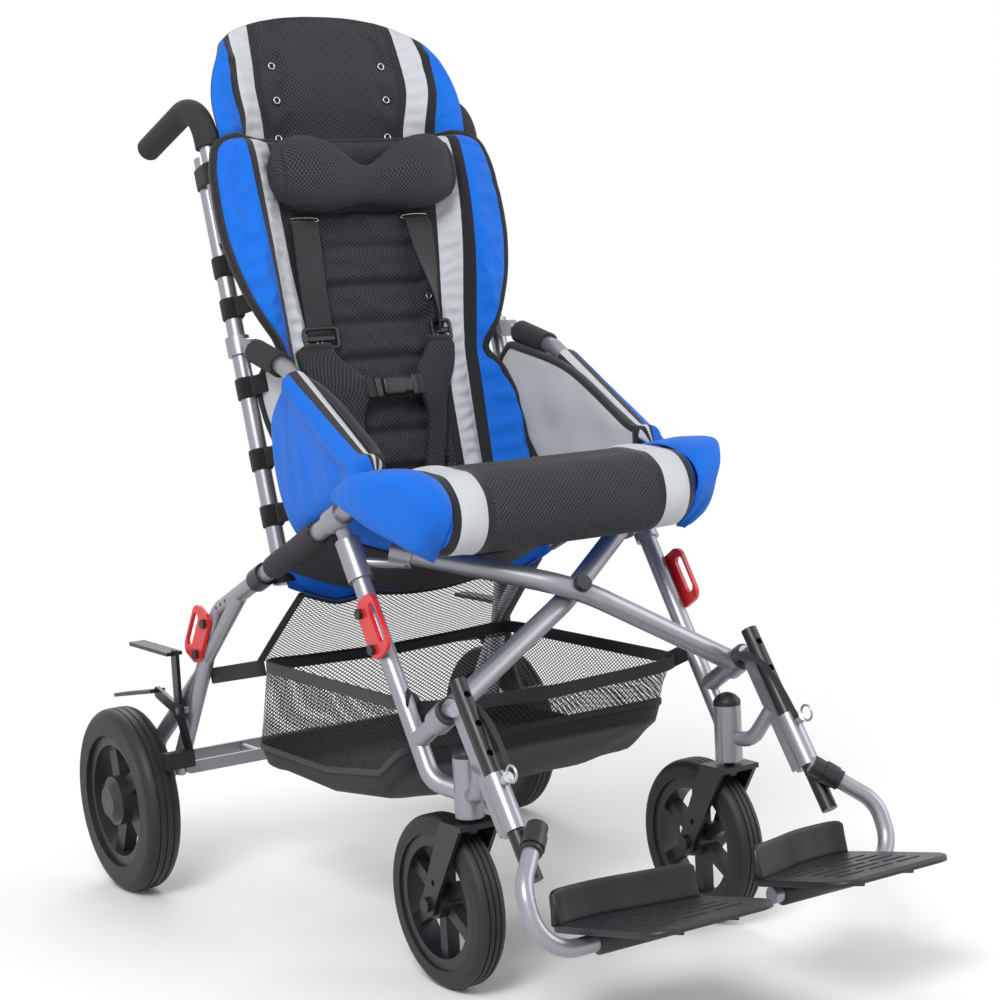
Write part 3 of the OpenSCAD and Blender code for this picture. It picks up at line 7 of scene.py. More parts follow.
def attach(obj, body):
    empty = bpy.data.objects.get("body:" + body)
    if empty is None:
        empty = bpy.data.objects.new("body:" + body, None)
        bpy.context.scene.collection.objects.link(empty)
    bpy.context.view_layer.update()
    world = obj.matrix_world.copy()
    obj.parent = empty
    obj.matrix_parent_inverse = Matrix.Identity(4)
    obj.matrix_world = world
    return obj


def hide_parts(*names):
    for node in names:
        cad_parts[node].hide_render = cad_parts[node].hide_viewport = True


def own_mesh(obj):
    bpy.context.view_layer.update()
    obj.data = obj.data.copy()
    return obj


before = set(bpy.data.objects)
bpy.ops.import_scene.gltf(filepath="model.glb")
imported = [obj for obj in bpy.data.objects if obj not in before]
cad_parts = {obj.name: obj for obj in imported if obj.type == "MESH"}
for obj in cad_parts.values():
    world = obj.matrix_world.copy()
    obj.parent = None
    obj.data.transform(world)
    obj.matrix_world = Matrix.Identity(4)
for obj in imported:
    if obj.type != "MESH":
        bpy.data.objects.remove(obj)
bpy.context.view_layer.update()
SIDES = (("left", 1.0), ("right", -1.0))

# Lines that the soft pieces follow, as in the part's source: the canes' plane, its normal and the seat rails
AHEAD = np.array([0.0, -0.96064, 0.27779])
UP_BACK = np.array([0.0, 0.27779, 0.96064])
CANE_X, CANE_FOOT_Y, CANE_FOOT_Z, CANE_LEAN = 0.195, 0.165, 0.432, 0.28918
RAIL_X, RAIL_MID_Y, RAIL_MID_Z, RAIL_SLOPE = 0.222, -0.076, 0.552, 0.43194
# Back and head pads: lowest and highest point, and how far ahead of the canes they lie
BACK_LOW, BACK_TOP, BACK_GAP = 0.484, 0.985, 0.036
HEAD_LOW, HEAD_TOP, HEAD_GAP = 0.905, 1.149, 0.019
# Filling of the back pad, how far both pads sink behind their wings, and the width of their inner tapes
BACK_THICK, SAG_DEPTH, TAPE_W = 0.030, 0.055, 0.0125
# Sewn channels of the back: one seam's height and the step to the next
SEAM_Z, SEAM_PITCH = 0.840, 0.0475
# Sling: its sag, half the width that it spans and the place of its rear hem
SLING_SAG, SLING_HALF, HEM_Y = 0.052, 0.20925, 0.143
# Eyelets of the head pad, radius of the roll over the armrest tube, and height of the harness buckle
EYELET_X, EYELET_Z = 0.0825, (0.991, 1.036, 1.08)
ARM_ROLL_R = 0.0145
BUCKLE_Z = 0.655
# Shoulder straps: distance from the middle, and heights of their slots and slides
STRAP_X, SLOT_Z, SLIDE_Z = 0.085, 0.8755, 0.7265
# Rim of the basket: height, rear and front
RIM_Z, RIM_REAR, RIM_FORE = 0.325, 0.262, -0.138
# Folding of the real buggy: the place on X that cloth draws towards and the share of its width that is left,
# for cloth on the rails and for pads that stay between the canes; fit only tests whether one is given, and
# nothing here folds
RAIL_FOLD = (RAIL_X, 0.544)
PAD_FOLD = (0.1808, 0.44)


# Curves and fields

def unit(v):
    """Vectors along the last axis, scaled to length one."""
    return v / np.linalg.norm(v, axis=-1, keepdims=True)


def ease(v, a, b):
    """Eased step: 0 before a, 1 after b, and 3t^2 - 2t^3 between them."""
    t = np.clip((v - a) / (b - a), 0.0, 1.0)
    return t * t * (3 - 2 * t)


def through(x, xs, ys):
    """Smooth line through given points: cubic pieces whose slopes come from the neighbouring points."""
    xs, ys = np.asarray(xs, float), np.asarray(ys, float)
    m = np.gradient(ys, xs)
    i = np.clip(np.searchsorted(xs, x) - 1, 0, len(xs) - 2)
    h = xs[i + 1] - xs[i]
    t = np.clip((x - xs[i]) / h, 0.0, 1.0)
    return ((2 * t**3 - 3 * t**2 + 1) * ys[i] + (t**3 - 2 * t**2 + t) * h * m[i]
            + (3 * t**2 - 2 * t**3) * ys[i + 1] + (t**3 - t**2) * h * m[i + 1])


def ripple(p, q, seed, short, long, count=8):
    """Soft creases: a sum of seeded sine ridges whose lengths lie between short and long."""
    rng = np.random.default_rng(seed)
    total = 0.0
    for turn, pitch, start in rng.uniform((0, short, 0), (np.pi, long, 2 * np.pi), (count, 3)):
        total = total + np.sin((p * np.cos(turn) + q * np.sin(turn)) * 2 * np.pi / pitch + start)
    return total / count


def bulge(t, power=2.0):
    """Cushion section: 0 at both ends of 0 to 1 and 1 in the middle, (1 - |2t-1|^power)^(1/power)."""
    return np.clip(1 - np.abs(2 * np.clip(t, 0, 1) - 1) ** power, 0, 1) ** (1 / power)


def blunt(v, power):
    """Signed power: the size of v raised to the power, with its sign kept. It squares off a circle."""
    return np.sign(v) * np.abs(v) ** power


def cane_y(z):
    """Where the sloping canes stand at a height."""
    return CANE_FOOT_Y + CANE_LEAN * (z - CANE_FOOT_Z)


def rail_z(y):
    """Height of the sloping seat rails."""
    return RAIL_MID_Z - RAIL_SLOPE * (y - RAIL_MID_Y)


def sling_z(x, y):
    """Height of the sling: a parabola across, hung from the two rails."""
    return rail_z(y) - SLING_SAG * (1 - (x / SLING_HALF) ** 2)


def on_back(x, z, ahead):
    """A point on the plane of the canes at x and z, moved ahead of it along the plane's normal."""
    x, z, ahead = np.broadcast_arrays(np.asarray(x, float), z, ahead)
    return np.stack([x, cane_y(z), z], -1) + ahead[..., None] * AHEAD


def hollow(x):
    """How much of the sag shows: 1 in the middle of the back and 0 at its wings."""
    return 1 - ease(np.abs(x), 0.118, 0.168)


def back_sag(x, z):
    """How far the back sinks behind its wings, deepest at the seat."""
    v = np.clip((z - BACK_LOW) / (BACK_TOP - BACK_LOW), 0, 1)
    return SAG_DEPTH * through(v, [0, 0.5, 0.83, 1], [1, 0.97, 0.6, 0.42]) * hollow(x)


def head_sag(x, z):
    """How far the head pad sinks behind its wings."""
    v = np.clip((z - HEAD_LOW) / (1.15 - HEAD_LOW), 0, 1)
    return SAG_DEPTH * through(v, [0, 0.33, 0.52, 1], [0.73, 0.55, 0.26, 0.22]) * hollow(x)


def channel(z):
    """Sewn channels across the back: 0 at a seam and 1 half way to the next one."""
    return bulge((z - SEAM_Z) / SEAM_PITCH % 1.0, 2.6)


def arm_z(y):
    """Height of the armrest tube's middle line: two straight lines that meet at its bend."""
    bend_y, bend_z = 0.118, 0.702
    front_y, front_z = -0.062, 0.592
    rear_rise, rear_run = 0.026, 0.0986
    front_rise, front_run = 0.11, 0.18
    behind = bend_z + (y - bend_y) * rear_rise / rear_run
    ahead = front_z + (y - front_y) * front_rise / front_run
    return np.where(y > bend_y, behind, ahead)


def columns(knots, counts):
    """Places across a pad: knots are the half widths of its zones row by row, mirrored about the middle."""
    half = [knots[:, :1] * 0]
    zone = []
    for k, n in enumerate(counts):
        t = np.arange(1, n + 1) / n
        half.append(knots[:, k:k + 1] + (knots[:, k + 1:k + 2] - knots[:, k:k + 1]) * t)
        zone += [k] * n
    right = np.concatenate(half, 1)
    x = np.concatenate([-right[:, :0:-1], right], 1)
    return x, np.array(zone[::-1] + zone)


# Meshes

def lengths(p):
    """Pattern place of each grid point: metres along its row and along its column, from the grid's middle."""
    u = np.concatenate([np.zeros((len(p), 1)), np.linalg.norm(np.diff(p, axis=1), axis=-1).cumsum(1)], 1)
    v = np.concatenate([np.zeros((1, p.shape[1])), np.linalg.norm(np.diff(p, axis=0), axis=-1).cumsum(0)], 0)
    return np.stack([u - u[:, u.shape[1] // 2, None], v - v[None, v.shape[0] // 2]], -1)


def around(grid):
    """The edge of a grid, once round."""
    return np.concatenate([grid[0, :-1], grid[:-1, -1], grid[-1, :0:-1], grid[:0:-1, 0]])


def face_ids(rows, cols, wrap=False):
    """Corner numbers of the faces between neighbouring points of a grid; wrap joins the last column to
    the first."""
    j, i = np.meshgrid(np.arange(rows - 1), np.arange(cols if wrap else cols - 1), indexing="ij")
    n = (i + 1) % cols
    return np.stack([j * cols + i, j * cols + n, (j + 1) * cols + n, (j + 1) * cols + i], -1)


def face_places(place):
    """Pattern places of the same faces' corners."""
    return np.stack([place[:-1, :-1], place[:-1, 1:], place[1:, 1:], place[1:, :-1]], 2)


class Cut:
    """A piece gathered from grids of points, each with its finish and its pattern place."""

    def __init__(self):
        """Starts with nothing gathered."""
        self.points, self.faces, self.uv, self.kinds, self.count = [], [], [], [], 0

    def take(self, points, faces, uv, kinds):
        """Adds points, faces that number them from 0, the faces' pattern places and their finishes."""
        self.points.append(points.reshape(-1, 3))
        self.faces += (faces + self.count).tolist()
        self.uv.append(uv.reshape(-1, 2))
        self.kinds.append(np.broadcast_to(kinds, len(faces)))
        self.count += self.points[-1].shape[0]

    def grid(self, p, kind=0, wrap=False, place=None):
        """Faces between neighbouring points of a grid of rows and columns."""
        quads = face_ids(*p.shape[:2], wrap)
        if place is None:
            place = lengths(np.concatenate([p, p[:, :1]], 1) if wrap else p)
        kinds = np.broadcast_to(kind, quads.shape[:2]).reshape(-1)
        self.take(p, quads.reshape(-1, 4), face_places(place), kinds)

    def lid(self, ring, kind=0):
        """One flat face that closes a ring of points."""
        n = len(ring)
        self.take(ring, np.arange(n)[None], ring[:, :2][None] - ring[:, :2].mean(0), np.array([kind]))

    def slab(self, front, rear, kinds, rear_kind, wall_kind):
        """A closed pad: a front grid, a rear grid and the wall round their edges, all sharing points."""
        rows, cols = front.shape[:2]
        m = rows * cols
        quads = face_ids(rows, cols)
        front_kinds = np.broadcast_to(kinds, quads.shape[:2]).reshape(-1)
        quads = quads.reshape(-1, 4)
        ring = around(np.arange(m).reshape(rows, cols))
        after = np.roll(ring, -1)
        wall = np.stack([after, ring, ring + m, after + m], -1)
        place = lengths(front)
        corner = face_places(place).reshape(-1, 4, 2)
        flat = place.reshape(-1, 2)
        edge = np.stack([flat[after], flat[ring], flat[ring] + 0.01, flat[after] + 0.01], 1)
        faces = np.concatenate([quads, quads[:, ::-1] + m, wall])
        uv = np.concatenate([corner, corner[:, ::-1], edge])
        all_kinds = [front_kinds, np.full(len(quads), rear_kind), np.full(len(wall), wall_kind)]
        points = np.concatenate([front.reshape(-1, 3), rear.reshape(-1, 3)])
        self.take(points, faces, uv, np.concatenate(all_kinds))

    def sweep(self, path, profile, ref, kind=0, closed=False, size=None):
        """A closed profile (side, lift) carried along a path; lift leans towards ref, and size scales it on
        the way."""
        path = np.asarray(path, float)
        if closed:
            t = unit(np.roll(path, -1, 0) - np.roll(path, 1, 0))
        else:
            t = unit(np.gradient(path, axis=0))
        side = unit(np.cross(t, np.broadcast_to(ref, path.shape)))
        lift = np.cross(side, t)
        scale = np.ones(len(path)) if size is None else size
        shape = np.asarray(profile, float)[None] * scale[:, None, None]
        p = path[:, None] + side[:, None] * shape[..., :1] + lift[:, None] * shape[..., 1:]
        self.grid(np.concatenate([p, p[:1]]) if closed else p, kind, wrap=True)
        if not closed:
            self.lid(p[0], kind)
            self.lid(p[-1, ::-1], kind)

    def ring(self, middle, axis, radius, wire, kind=0, turns=28):
        """A round wire ring standing square to an axis."""
        axis = unit(np.asarray(axis, float))
        a = unit(np.cross(axis, [0.31, 0.87, 0.38]))
        b = np.cross(axis, a)
        t = np.linspace(0, 2 * np.pi, turns, endpoint=False)[:, None]
        loop = np.asarray(middle) + radius * (np.cos(t) * a + np.sin(t) * b)
        self.sweep(loop, round_profile(wire, wire, 10), axis, kind, True)

    def lathe(self, middle, axis, profile, kind=0, turns=64):
        """A profile of (radius, along) pairs turned about an axis through a point."""
        axis = unit(np.asarray(axis, float))
        a = unit(np.cross(axis, [0.13, 0.31, 0.94]))
        b = np.cross(axis, a)
        t = np.linspace(0, 2 * np.pi, turns, endpoint=False)
        spoke = np.cos(t)[:, None] * a + np.sin(t)[:, None] * b
        profile = np.asarray(profile, float)
        p = np.asarray(middle) + profile[:, None, :1] * spoke[None] + profile[:, None, 1:] * axis
        self.grid(p, kind, wrap=True)

    def make(self, name, finishes, merge=True):
        """The gathered faces as one object; merge joins points that lie in the same place."""
        mesh = bpy.data.meshes.new(name)
        mesh.from_pydata(np.concatenate(self.points).tolist(), [], self.faces)
        mesh.uv_layers.new(name="pattern").data.foreach_set("uv", np.concatenate(self.uv).reshape(-1))
        mesh.polygons.foreach_set("material_index", np.concatenate(self.kinds).astype(np.int32))
        mesh.polygons.foreach_set("use_smooth", np.ones(len(mesh.polygons), bool))
        bm = bmesh.new()
        bm.from_mesh(mesh)
        if merge:
            bmesh.ops.remove_doubles(bm, verts=bm.verts, dist=2e-6)
        bmesh.ops.recalc_face_normals(bm, faces=bm.faces)
        bm.to_mesh(mesh)
        bm.free()
        for f in finishes:
            mesh.materials.append(f)
        piece = bpy.data.objects.new(name, mesh)
        bpy.context.scene.collection.objects.link(piece)
        return piece


def round_profile(half_w, half_h, count=12, power=2.0):
    """Points round a closed oval: |side/half_w|^power + |lift/half_h|^power = 1."""
    t = np.linspace(0, 2 * np.pi, count, endpoint=False)
    side = half_w * blunt(np.cos(t), 2 / power)
    lift = half_h * blunt(np.sin(t), 2 / power)
    return np.stack([side, lift], -1)


def outline(front, rear):
    """The closed line half way between the edges of a pad's front and rear grids."""
    return around((front + rear) / 2)


def even(path, step):
    """The same closed line with points at an even spacing."""
    p = np.concatenate([path, path[:1]])
    s = np.concatenate([[0], np.linalg.norm(np.diff(p, axis=0), axis=1).cumsum()])
    n = max(4, int(s[-1] / step))
    at = np.linspace(0, s[-1], n, endpoint=False)
    return np.stack([np.interp(at, s, p[:, k]) for k in range(3)], -1)


def swell(piece, pinned, pressure, cap):
    """Cloth simulation: pressure fills the pad between its pinned seams, and no point moves further than
    cap."""
    last = 20
    scene = bpy.context.scene
    group = piece.vertex_groups.new(name="seams")
    group.add(np.flatnonzero(pinned).tolist(), 1.0, "REPLACE")
    mod = piece.modifiers.new("filling", "CLOTH")
    s = mod.settings
    s.quality, s.mass, s.vertex_group_mass = 4, 0.25, "seams"
    s.tension_stiffness = s.compression_stiffness = 12
    s.shear_stiffness, s.bending_stiffness, s.air_damping = 4, 0.4, 2
    s.use_pressure, s.uniform_pressure_force, s.shrink_min = True, pressure, -0.03
    s.effector_weights.gravity = 0
    mod.collision_settings.use_collision = False
    mod.point_cache.frame_start, mod.point_cache.frame_end = 1, last
    for f in range(1, last + 1):
        scene.frame_set(f)
    done = piece.evaluated_get(bpy.context.evaluated_depsgraph_get()).data
    old, new = np.zeros(len(piece.data.vertices) * 3), np.zeros(len(done.vertices) * 3)
    piece.data.vertices.foreach_get("co", old)
    done.vertices.foreach_get("co", new)
    move = (new - old).reshape(-1, 3)
    far = np.linalg.norm(move, axis=1, keepdims=True)
    move *= np.minimum(1.0, cap / np.maximum(far, 1e-9))
    piece.modifiers.remove(mod)
    piece.vertex_groups.remove(group)
    scene.frame_set(1)
    piece.data.vertices.foreach_set("co", (old.reshape(-1, 3) + move).reshape(-1))
    piece.data.update()


def finer(piece):
    """One live subdivision that rounds the piece."""
    mod = piece.modifiers.new("round", "SUBSURF")
    mod.levels = mod.render_levels = 1


def fit(piece, body, nodes=(), fold=PAD_FOLD):
    """Hangs a piece on its body and hides the nodes it stands for; when fold is given, the piece also gets
    its own copy of its mesh.
    """
    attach(piece, body)
    if fold:
        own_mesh(piece)
    if nodes:
        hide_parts(*nodes)
    return piece


# Finishes

def rgb(r, g, b):
    """A screen colour of 0 to 255 as linear light."""
    c = np.array([r, g, b]) / 255.0
    return tuple(np.where(c <= 0.04045, c / 12.92, ((c + 0.055) / 1.055) ** 2.4)) + (1.0,)


class Finish:
    """A material built from nodes, with the main shader at hand."""

    def __init__(self, name, colour, rough, metal=0.0, **sockets):
        """A plain shader with the given colour, roughness, metal share and other sockets."""
        self.mat = bpy.data.materials.new(name)
        self.mat.use_nodes = True
        self.tree = self.mat.node_tree
        self.skin = self.tree.nodes["Principled BSDF"]
        for key, value in {"Base Color": colour, "Roughness": rough, "Metallic": metal, **sockets}.items():
            self.skin.inputs[key].default_value = value

    def node(self, kind, inputs=(), **settings):
        """A new node with its settings made and its inputs set or linked."""
        n = self.tree.nodes.new(kind)
        for key, value in settings.items():
            setattr(n, key, value)
        for key, value in dict(inputs).items():
            self.join(value, n.inputs[key])
        return n

    def join(self, value, socket):
        """Links an output to a socket, or sets the socket to a plain value."""
        if isinstance(value, bpy.types.NodeSocket):
            self.tree.links.new(value, socket)
        else:
            socket.default_value = value

    def place(self, kind="UV", turn=0.0, scale=(1, 1, 1)):
        """Pattern place in metres from the piece's own map, or from its Object coordinates."""
        coord = self.node("ShaderNodeTexCoord")
        return self.node("ShaderNodeMapping", {"Vector": coord.outputs[kind], "Rotation": (0, 0, turn),
                                               "Scale": scale}).outputs[0]

    def maths(self, operation, a, b=0.0, c=0.0):
        """One sum on values or outputs."""
        return self.node("ShaderNodeMath", {0: a, 1: b, 2: c}, operation=operation).outputs[0]

    def noise(self, vector, scale, detail=3.0):
        """Cloudy noise from 0 to 1."""
        inputs = {"Vector": vector, "Scale": scale, "Detail": detail, "Roughness": 0.5}
        return self.node("ShaderNodeTexNoise", inputs).outputs[0]

    def waves(self, vector, pitch, direction):
        """Sine ridges with the given pitch in metres, from 0 to 1; at scale 1 they stand pi / 10 apart."""
        inputs = {"Vector": vector, "Scale": 0.314159 / pitch, "Distortion": 0.0}
        return self.node("ShaderNodeTexWave", inputs, bands_direction=direction).outputs[1]

    def between(self, share, low, high):
        """A colour that goes from low to high with the share."""
        mix = self.node("ShaderNodeMix", {0: share, 6: low, 7: high}, data_type="RGBA")
        return mix.outputs[2]

    def span(self, value, a, b, low, high):
        """A value from a to b, stretched to run from low to high and held there."""
        return self.node("ShaderNodeMapRange", {"Value": value, "From Min": a, "From Max": b, "To Min": low,
                                                "To Max": high}).outputs[0]

    def paint(self, colour):
        """Sets or links the colour."""
        self.join(colour, self.skin.inputs["Base Color"])

    def gloss(self, rough):
        """Sets or links the roughness."""
        self.join(rough, self.skin.inputs["Roughness"])

    def relief(self, height, depth):
        """Bump of the given depth in metres."""
        bump = self.node("ShaderNodeBump", {"Height": height, "Distance": depth, "Strength": 1.0})
        self.join(bump.outputs[0], self.skin.inputs["Normal"])


def shade(colour, k):
    """The same colour, lighter or darker by a factor."""
    return tuple(min(1.0, c * k) for c in colour[:3]) + (1.0,)


def coated(name, colour, rough, metal, grain, depth, **sockets):
    """Paint, plating or moulded plastic: fine grain, cloudy gloss and a little colour drift."""
    f = Finish(name, colour, rough, metal, **sockets)
    at = f.place("Object")
    fine, broad = f.noise(at, grain, 2.0), f.noise(at, 14.0, 4.0)
    f.paint(f.between(broad, shade(colour, 0.88), shade(colour, 1.1)))
    f.gloss(f.span(f.maths("ADD", fine, broad), 0.6, 1.4, rough - 0.07, rough + 0.09))
    f.relief(fine, depth)
    return f.mat


def woven(name, colour, pitch, depth, rough=0.75, sheen=0.25, shade_and_drift=0.09):
    """Plain weave: two crossed rows of threads, with soft colour drift, painted shade in the gaps between the
    threads, and a faint sheen.
    """
    soft = {"Sheen Weight": sheen, "Sheen Roughness": 0.45, "Specular IOR Level": 0.3}
    f = Finish(name, colour, rough, **soft)
    at = f.place("UV")
    a, b = f.waves(at, pitch, "X"), f.waves(at, pitch, "Y")
    thread = f.maths("MAXIMUM", f.maths("MULTIPLY", a, 0.85), b)
    cloud = f.noise(f.place("Object"), 22.0, 4.0)
    # Colour is darker where the threads dip: painted shade between the threads, mixed with cloudy drift at
    # random.
    thread_shade_and_cloud = f.maths("ADD", f.maths("MULTIPLY", thread, 0.55), f.maths("MULTIPLY", cloud, 0.45))
    f.paint(f.between(thread_shade_and_cloud, shade(colour, 1 - 1.6 * shade_and_drift), shade(colour, 1 + shade_and_drift)))
    f.relief(f.maths("ADD", thread, f.maths("MULTIPLY", cloud, 1.5)), depth)
    return f.mat


def knitted(name, colour, hole, pitch, depth, turn=0.6):
    """Spacer mesh: an even grid of small round holes between raised threads; the holes' near-black colour is
    painted shade inside them.
    """
    f = Finish(name, colour, 0.8, **{"Sheen Weight": 0.05, "Specular IOR Level": 0.3})
    at = f.place("UV", turn, (1.0, 0.72, 1.0))
    dots = f.node("ShaderNodeTexVoronoi", {"Vector": at, "Scale": 1.0 / pitch, "Randomness": 0.0},
                  voronoi_dimensions="2D")
    open_share = f.span(dots.outputs["Distance"], 0.2, 0.42, 0.0, 1.0)
    cloud = f.noise(f.place("Object"), 30.0, 3.0)
    # Holes take the near-black hole colour, which is painted shade inside them; the threads vary in tone at
    # random.
    f.paint(f.between(open_share, hole, f.between(cloud, shade(colour, 0.8), shade(colour, 1.2))))
    f.relief(f.maths("ADD", open_share, f.maths("MULTIPLY", cloud, 0.8)), depth)
    return f.mat


def netting(name, colour, pitch, thread):
    """Open net: two slanting rows of threads; the gaps between them let light through."""
    f = Finish(name, colour, 0.6, **{"Specular IOR Level": 0.3})
    a = f.waves(f.place("UV", 0.95), pitch, "X")
    b = f.waves(f.place("UV", -0.95), pitch, "X")
    line = f.maths("MAXIMUM", a, b)
    f.join(f.span(line, thread, thread + 0.08, 0.0, 1.0), f.skin.inputs["Alpha"])
    cloud = f.noise(f.place("Object"), 40.0)
    f.paint(f.between(cloud, shade(colour, 0.7), shade(colour, 1.3)))
    f.relief(line, 0.0006)
    return f.mat


def ribbed(name, colour, pitch, depth, direction="Y", rough=0.7):
    """Tape and webbing: close ribs across or along the run, broken up by a fine twill, with painted shade in
    the valleys between the ribs.
    """
    f = Finish(name, colour, rough, **{"Sheen Weight": 0.15, "Specular IOR Level": 0.3})
    rib = f.waves(f.place("UV"), pitch, direction)
    twill = f.waves(f.place("UV", 0.7), pitch * 0.6, "X")
    mixed = f.maths("ADD", rib, f.maths("MULTIPLY", twill, 0.45))
    cloud = f.noise(f.place("Object"), 45.0)
    # Colour is darker in the valleys of ribs and twill, which is painted shade, and it also drifts with the
    # cloud at random.
    f.paint(f.between(f.maths("ADD", f.maths("MULTIPLY", mixed, 0.4), f.maths("MULTIPLY", cloud, 0.5)),
                      shade(colour, 0.7), shade(colour, 1.35)))
    f.relief(mixed, depth)
    return f.mat


silver_paint = coated("silver_paint", rgb(152, 152, 160), 0.34, 0.7, 900.0, 0.00006)
black_paint = coated("black_paint", rgb(22, 22, 24), 0.36, 0.0, 700.0, 0.00008)
moulded_black = coated("moulded_black", rgb(26, 26, 31), 0.4, 0.0, 1100.0, 0.00012)
moulded_grey = coated("moulded_grey", rgb(38, 38, 41), 0.42, 0.0, 1000.0, 0.0001)
tyre_rubber = coated("tyre_rubber", rgb(23, 23, 26), 0.55, 0.0, 600.0, 0.0002)
grip_foam = coated("grip_foam", rgb(34, 34, 37), 0.8, 0.0, 1500.0, 0.0003)
zinc = coated("zinc", rgb(186, 188, 190), 0.3, 0.9, 800.0, 0.00006)
red_paint = coated("red_paint", rgb(208, 30, 40), 0.34, 0.0, 500.0, 0.00005, **{"Coat Weight": 0.3})
blue_nylon = woven("blue_nylon", rgb(8, 106, 216), 0.0011, 0.00025, sheen=0.08)
grey_cloth = woven("grey_cloth", rgb(198, 200, 206), 0.0014, 0.0003, 0.8, 0.15, 0.06)
basket_cloth = woven("basket_cloth", rgb(23, 23, 27), 0.0012, 0.0002, 0.62, 0.1, 0.12)
# The second colour of each mesh is the near-black painted shade in its holes.
spacer_mesh = knitted("spacer_mesh", rgb(56, 56, 63), rgb(3, 3, 4), 0.0034, 0.0010)
vest_mesh = knitted("vest_mesh", rgb(58, 58, 66), rgb(3, 3, 4), 0.0037, 0.0011, 0.78)
basket_net = netting("basket_net", rgb(24, 24, 27), 0.0044, 0.74)
binding_tape = ribbed("binding_tape", rgb(25, 25, 29), 0.0016, 0.0003)
strap_webbing = ribbed("strap_webbing", rgb(44, 44, 48), 0.0022, 0.0004)
hook_tape = ribbed("hook_tape", rgb(20, 20, 22), 0.0013, 0.0005, "X", 0.9)
# Near-black finish for eyelet wells and footplate slots: painted shade standing in for the holes.
painted_gap_shade = coated("painted_gap_shade", rgb(10, 10, 11), 0.9, 0.0, 500.0, 0.0001)

PAD_FINISHES = [spacer_mesh, binding_tape, grey_cloth, blue_nylon, basket_cloth]
NODE_FINISH = {
    silver_paint: ("side_rail", "front_frame", "rail_bracket", "back_cane", "push_handle", "arm_tube",
                   "foot_arm", "spread_bars"),
    black_paint: ("caster_fork", "slide_tube", "brake_lever"),
    moulded_black: ("fittings", "foot_collars", "footplate", "front_wheel"),
    moulded_grey: ("rear_wheel",),
    tyre_rubber: ("front_tyre", "rear_tyre"),
    grip_foam: ("handle_grip", "arm_grip"),
    zinc: ("pull_pin",),
    red_paint: ("tie_downs",),
}
for finish, names in NODE_FINISH.items():
    for name in names:
        for side, _ in SIDES:
            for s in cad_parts[side + "_" + name].material_slots:
                s.material = finish
for name, finish in (("brace_a", silver_paint), ("brace_b", silver_paint), ("brace_bolt", moulded_black)):
    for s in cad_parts[name].material_slots:
        s.material = finish


# Camera, light and floor

def add_camera():
    """Camera at the photograph's angle: bearing, height above level and roll give its axes."""
    bearing, height, roll = -32.9, 6.292, -3.068
    place = (-1.40696, -2.21167, 0.81583)
    a, e, r = np.radians([bearing, height, roll])
    back = np.array([np.sin(a) * np.cos(e), -np.cos(a) * np.cos(e), np.sin(e)])
    right = np.array([np.cos(a), np.sin(a), 0.0])
    up = np.cross(back, right)
    data = bpy.data.cameras.new("camera")
    data.sensor_width, data.lens = 36.0, 77.315
    camera = bpy.data.objects.new("camera", data)
    m = np.eye(4)
    m[:3, 0] = right * np.cos(r) + up * np.sin(r)
    m[:3, 1] = up * np.cos(r) - right * np.sin(r)
    m[:3, 2] = back
    m[:3, 3] = place
    camera.matrix_world = Matrix(m.tolist())
    bpy.context.scene.collection.objects.link(camera)
    bpy.context.scene.camera = camera


def add_lamp(name, place, aim, size, power):
    """A square soft lamp that faces a point."""
    data = bpy.data.lights.new(name, "AREA")
    data.size, data.energy = size, power
    lamp = bpy.data.objects.new(name, data)
    lamp.location = place
    lamp.rotation_euler = (Vector(aim) - Vector(place)).to_track_quat("-Z", "Y").to_euler()
    bpy.context.scene.collection.objects.link(lamp)


def plain_rays(f):
    """1 for rays that should see the plain white background: camera, mirror and glass rays."""
    ray = f.node("ShaderNodeLightPath").outputs
    return f.maths("MINIMUM", f.maths("ADD", f.maths("ADD", ray["Is Camera Ray"], ray["Is Glossy Ray"]),
                                      ray["Is Transmission Ray"]), 1.0)


def add_stage():
    """A pale floor that turns into the white background away from the buggy, and an even white sky."""
    turns, floor_z = 64, -0.0005
    t = np.linspace(0, 2 * np.pi, turns, endpoint=False)
    r = np.array([0.001, 0.6, 1.2, 2.0, 3.5, 7.0])[:, None]
    cut = Cut()
    cut.grid(np.stack([r * np.cos(t), r * np.sin(t), np.full((len(r), turns), floor_z)], -1), wrap=True)
    floor = cut.make("floor", [])
    f = Finish("pale_floor", (0.93, 0.93, 0.93, 1.0), 0.9)
    far = f.node("ShaderNodeVectorMath", {0: f.place("Object")}, operation="LENGTH").outputs["Value"]
    light = f.node("ShaderNodeEmission", {"Color": (1, 1, 1, 1), "Strength": 1.0})
    share = f.maths("MULTIPLY", plain_rays(f), f.span(far, 0.75, 1.7, 0.0, 1.0))
    mix = f.node("ShaderNodeMixShader", {0: share, 1: f.skin.outputs[0], 2: light.outputs[0]})
    f.join(mix.outputs[0], f.tree.nodes["Material Output"].inputs[0])
    floor.data.materials.append(f.mat)
    world = bpy.data.worlds.new("white_room")
    world.use_nodes = True
    bpy.context.scene.world = world
    # The sky's nodes, made with the same helpers as a finish
    w = Finish.__new__(Finish)
    w.tree = world.node_tree
    ground = w.tree.nodes["Background"]
    ground.inputs[0].default_value = (1, 1, 1, 1)
    w.join(w.span(plain_rays(w), 0.0, 1.0, 0.58, 1.0), ground.inputs[1])
    add_lamp("key", (-2.1, -1.9, 2.7), (0, 0, 0.5), 1.3, 84.0)
    add_lamp("fill", (2.4, -1.6, 1.6), (0, 0, 0.5), 1.8, 26.0)
    add_lamp("rear", (0.6, 2.4, 2.2), (0, 0, 0.6), 1.6, 26.0)


bpy.context.scene.view_settings.view_transform = "Standard"
add_camera()
add_stage()


# Lanyards of the pull pins

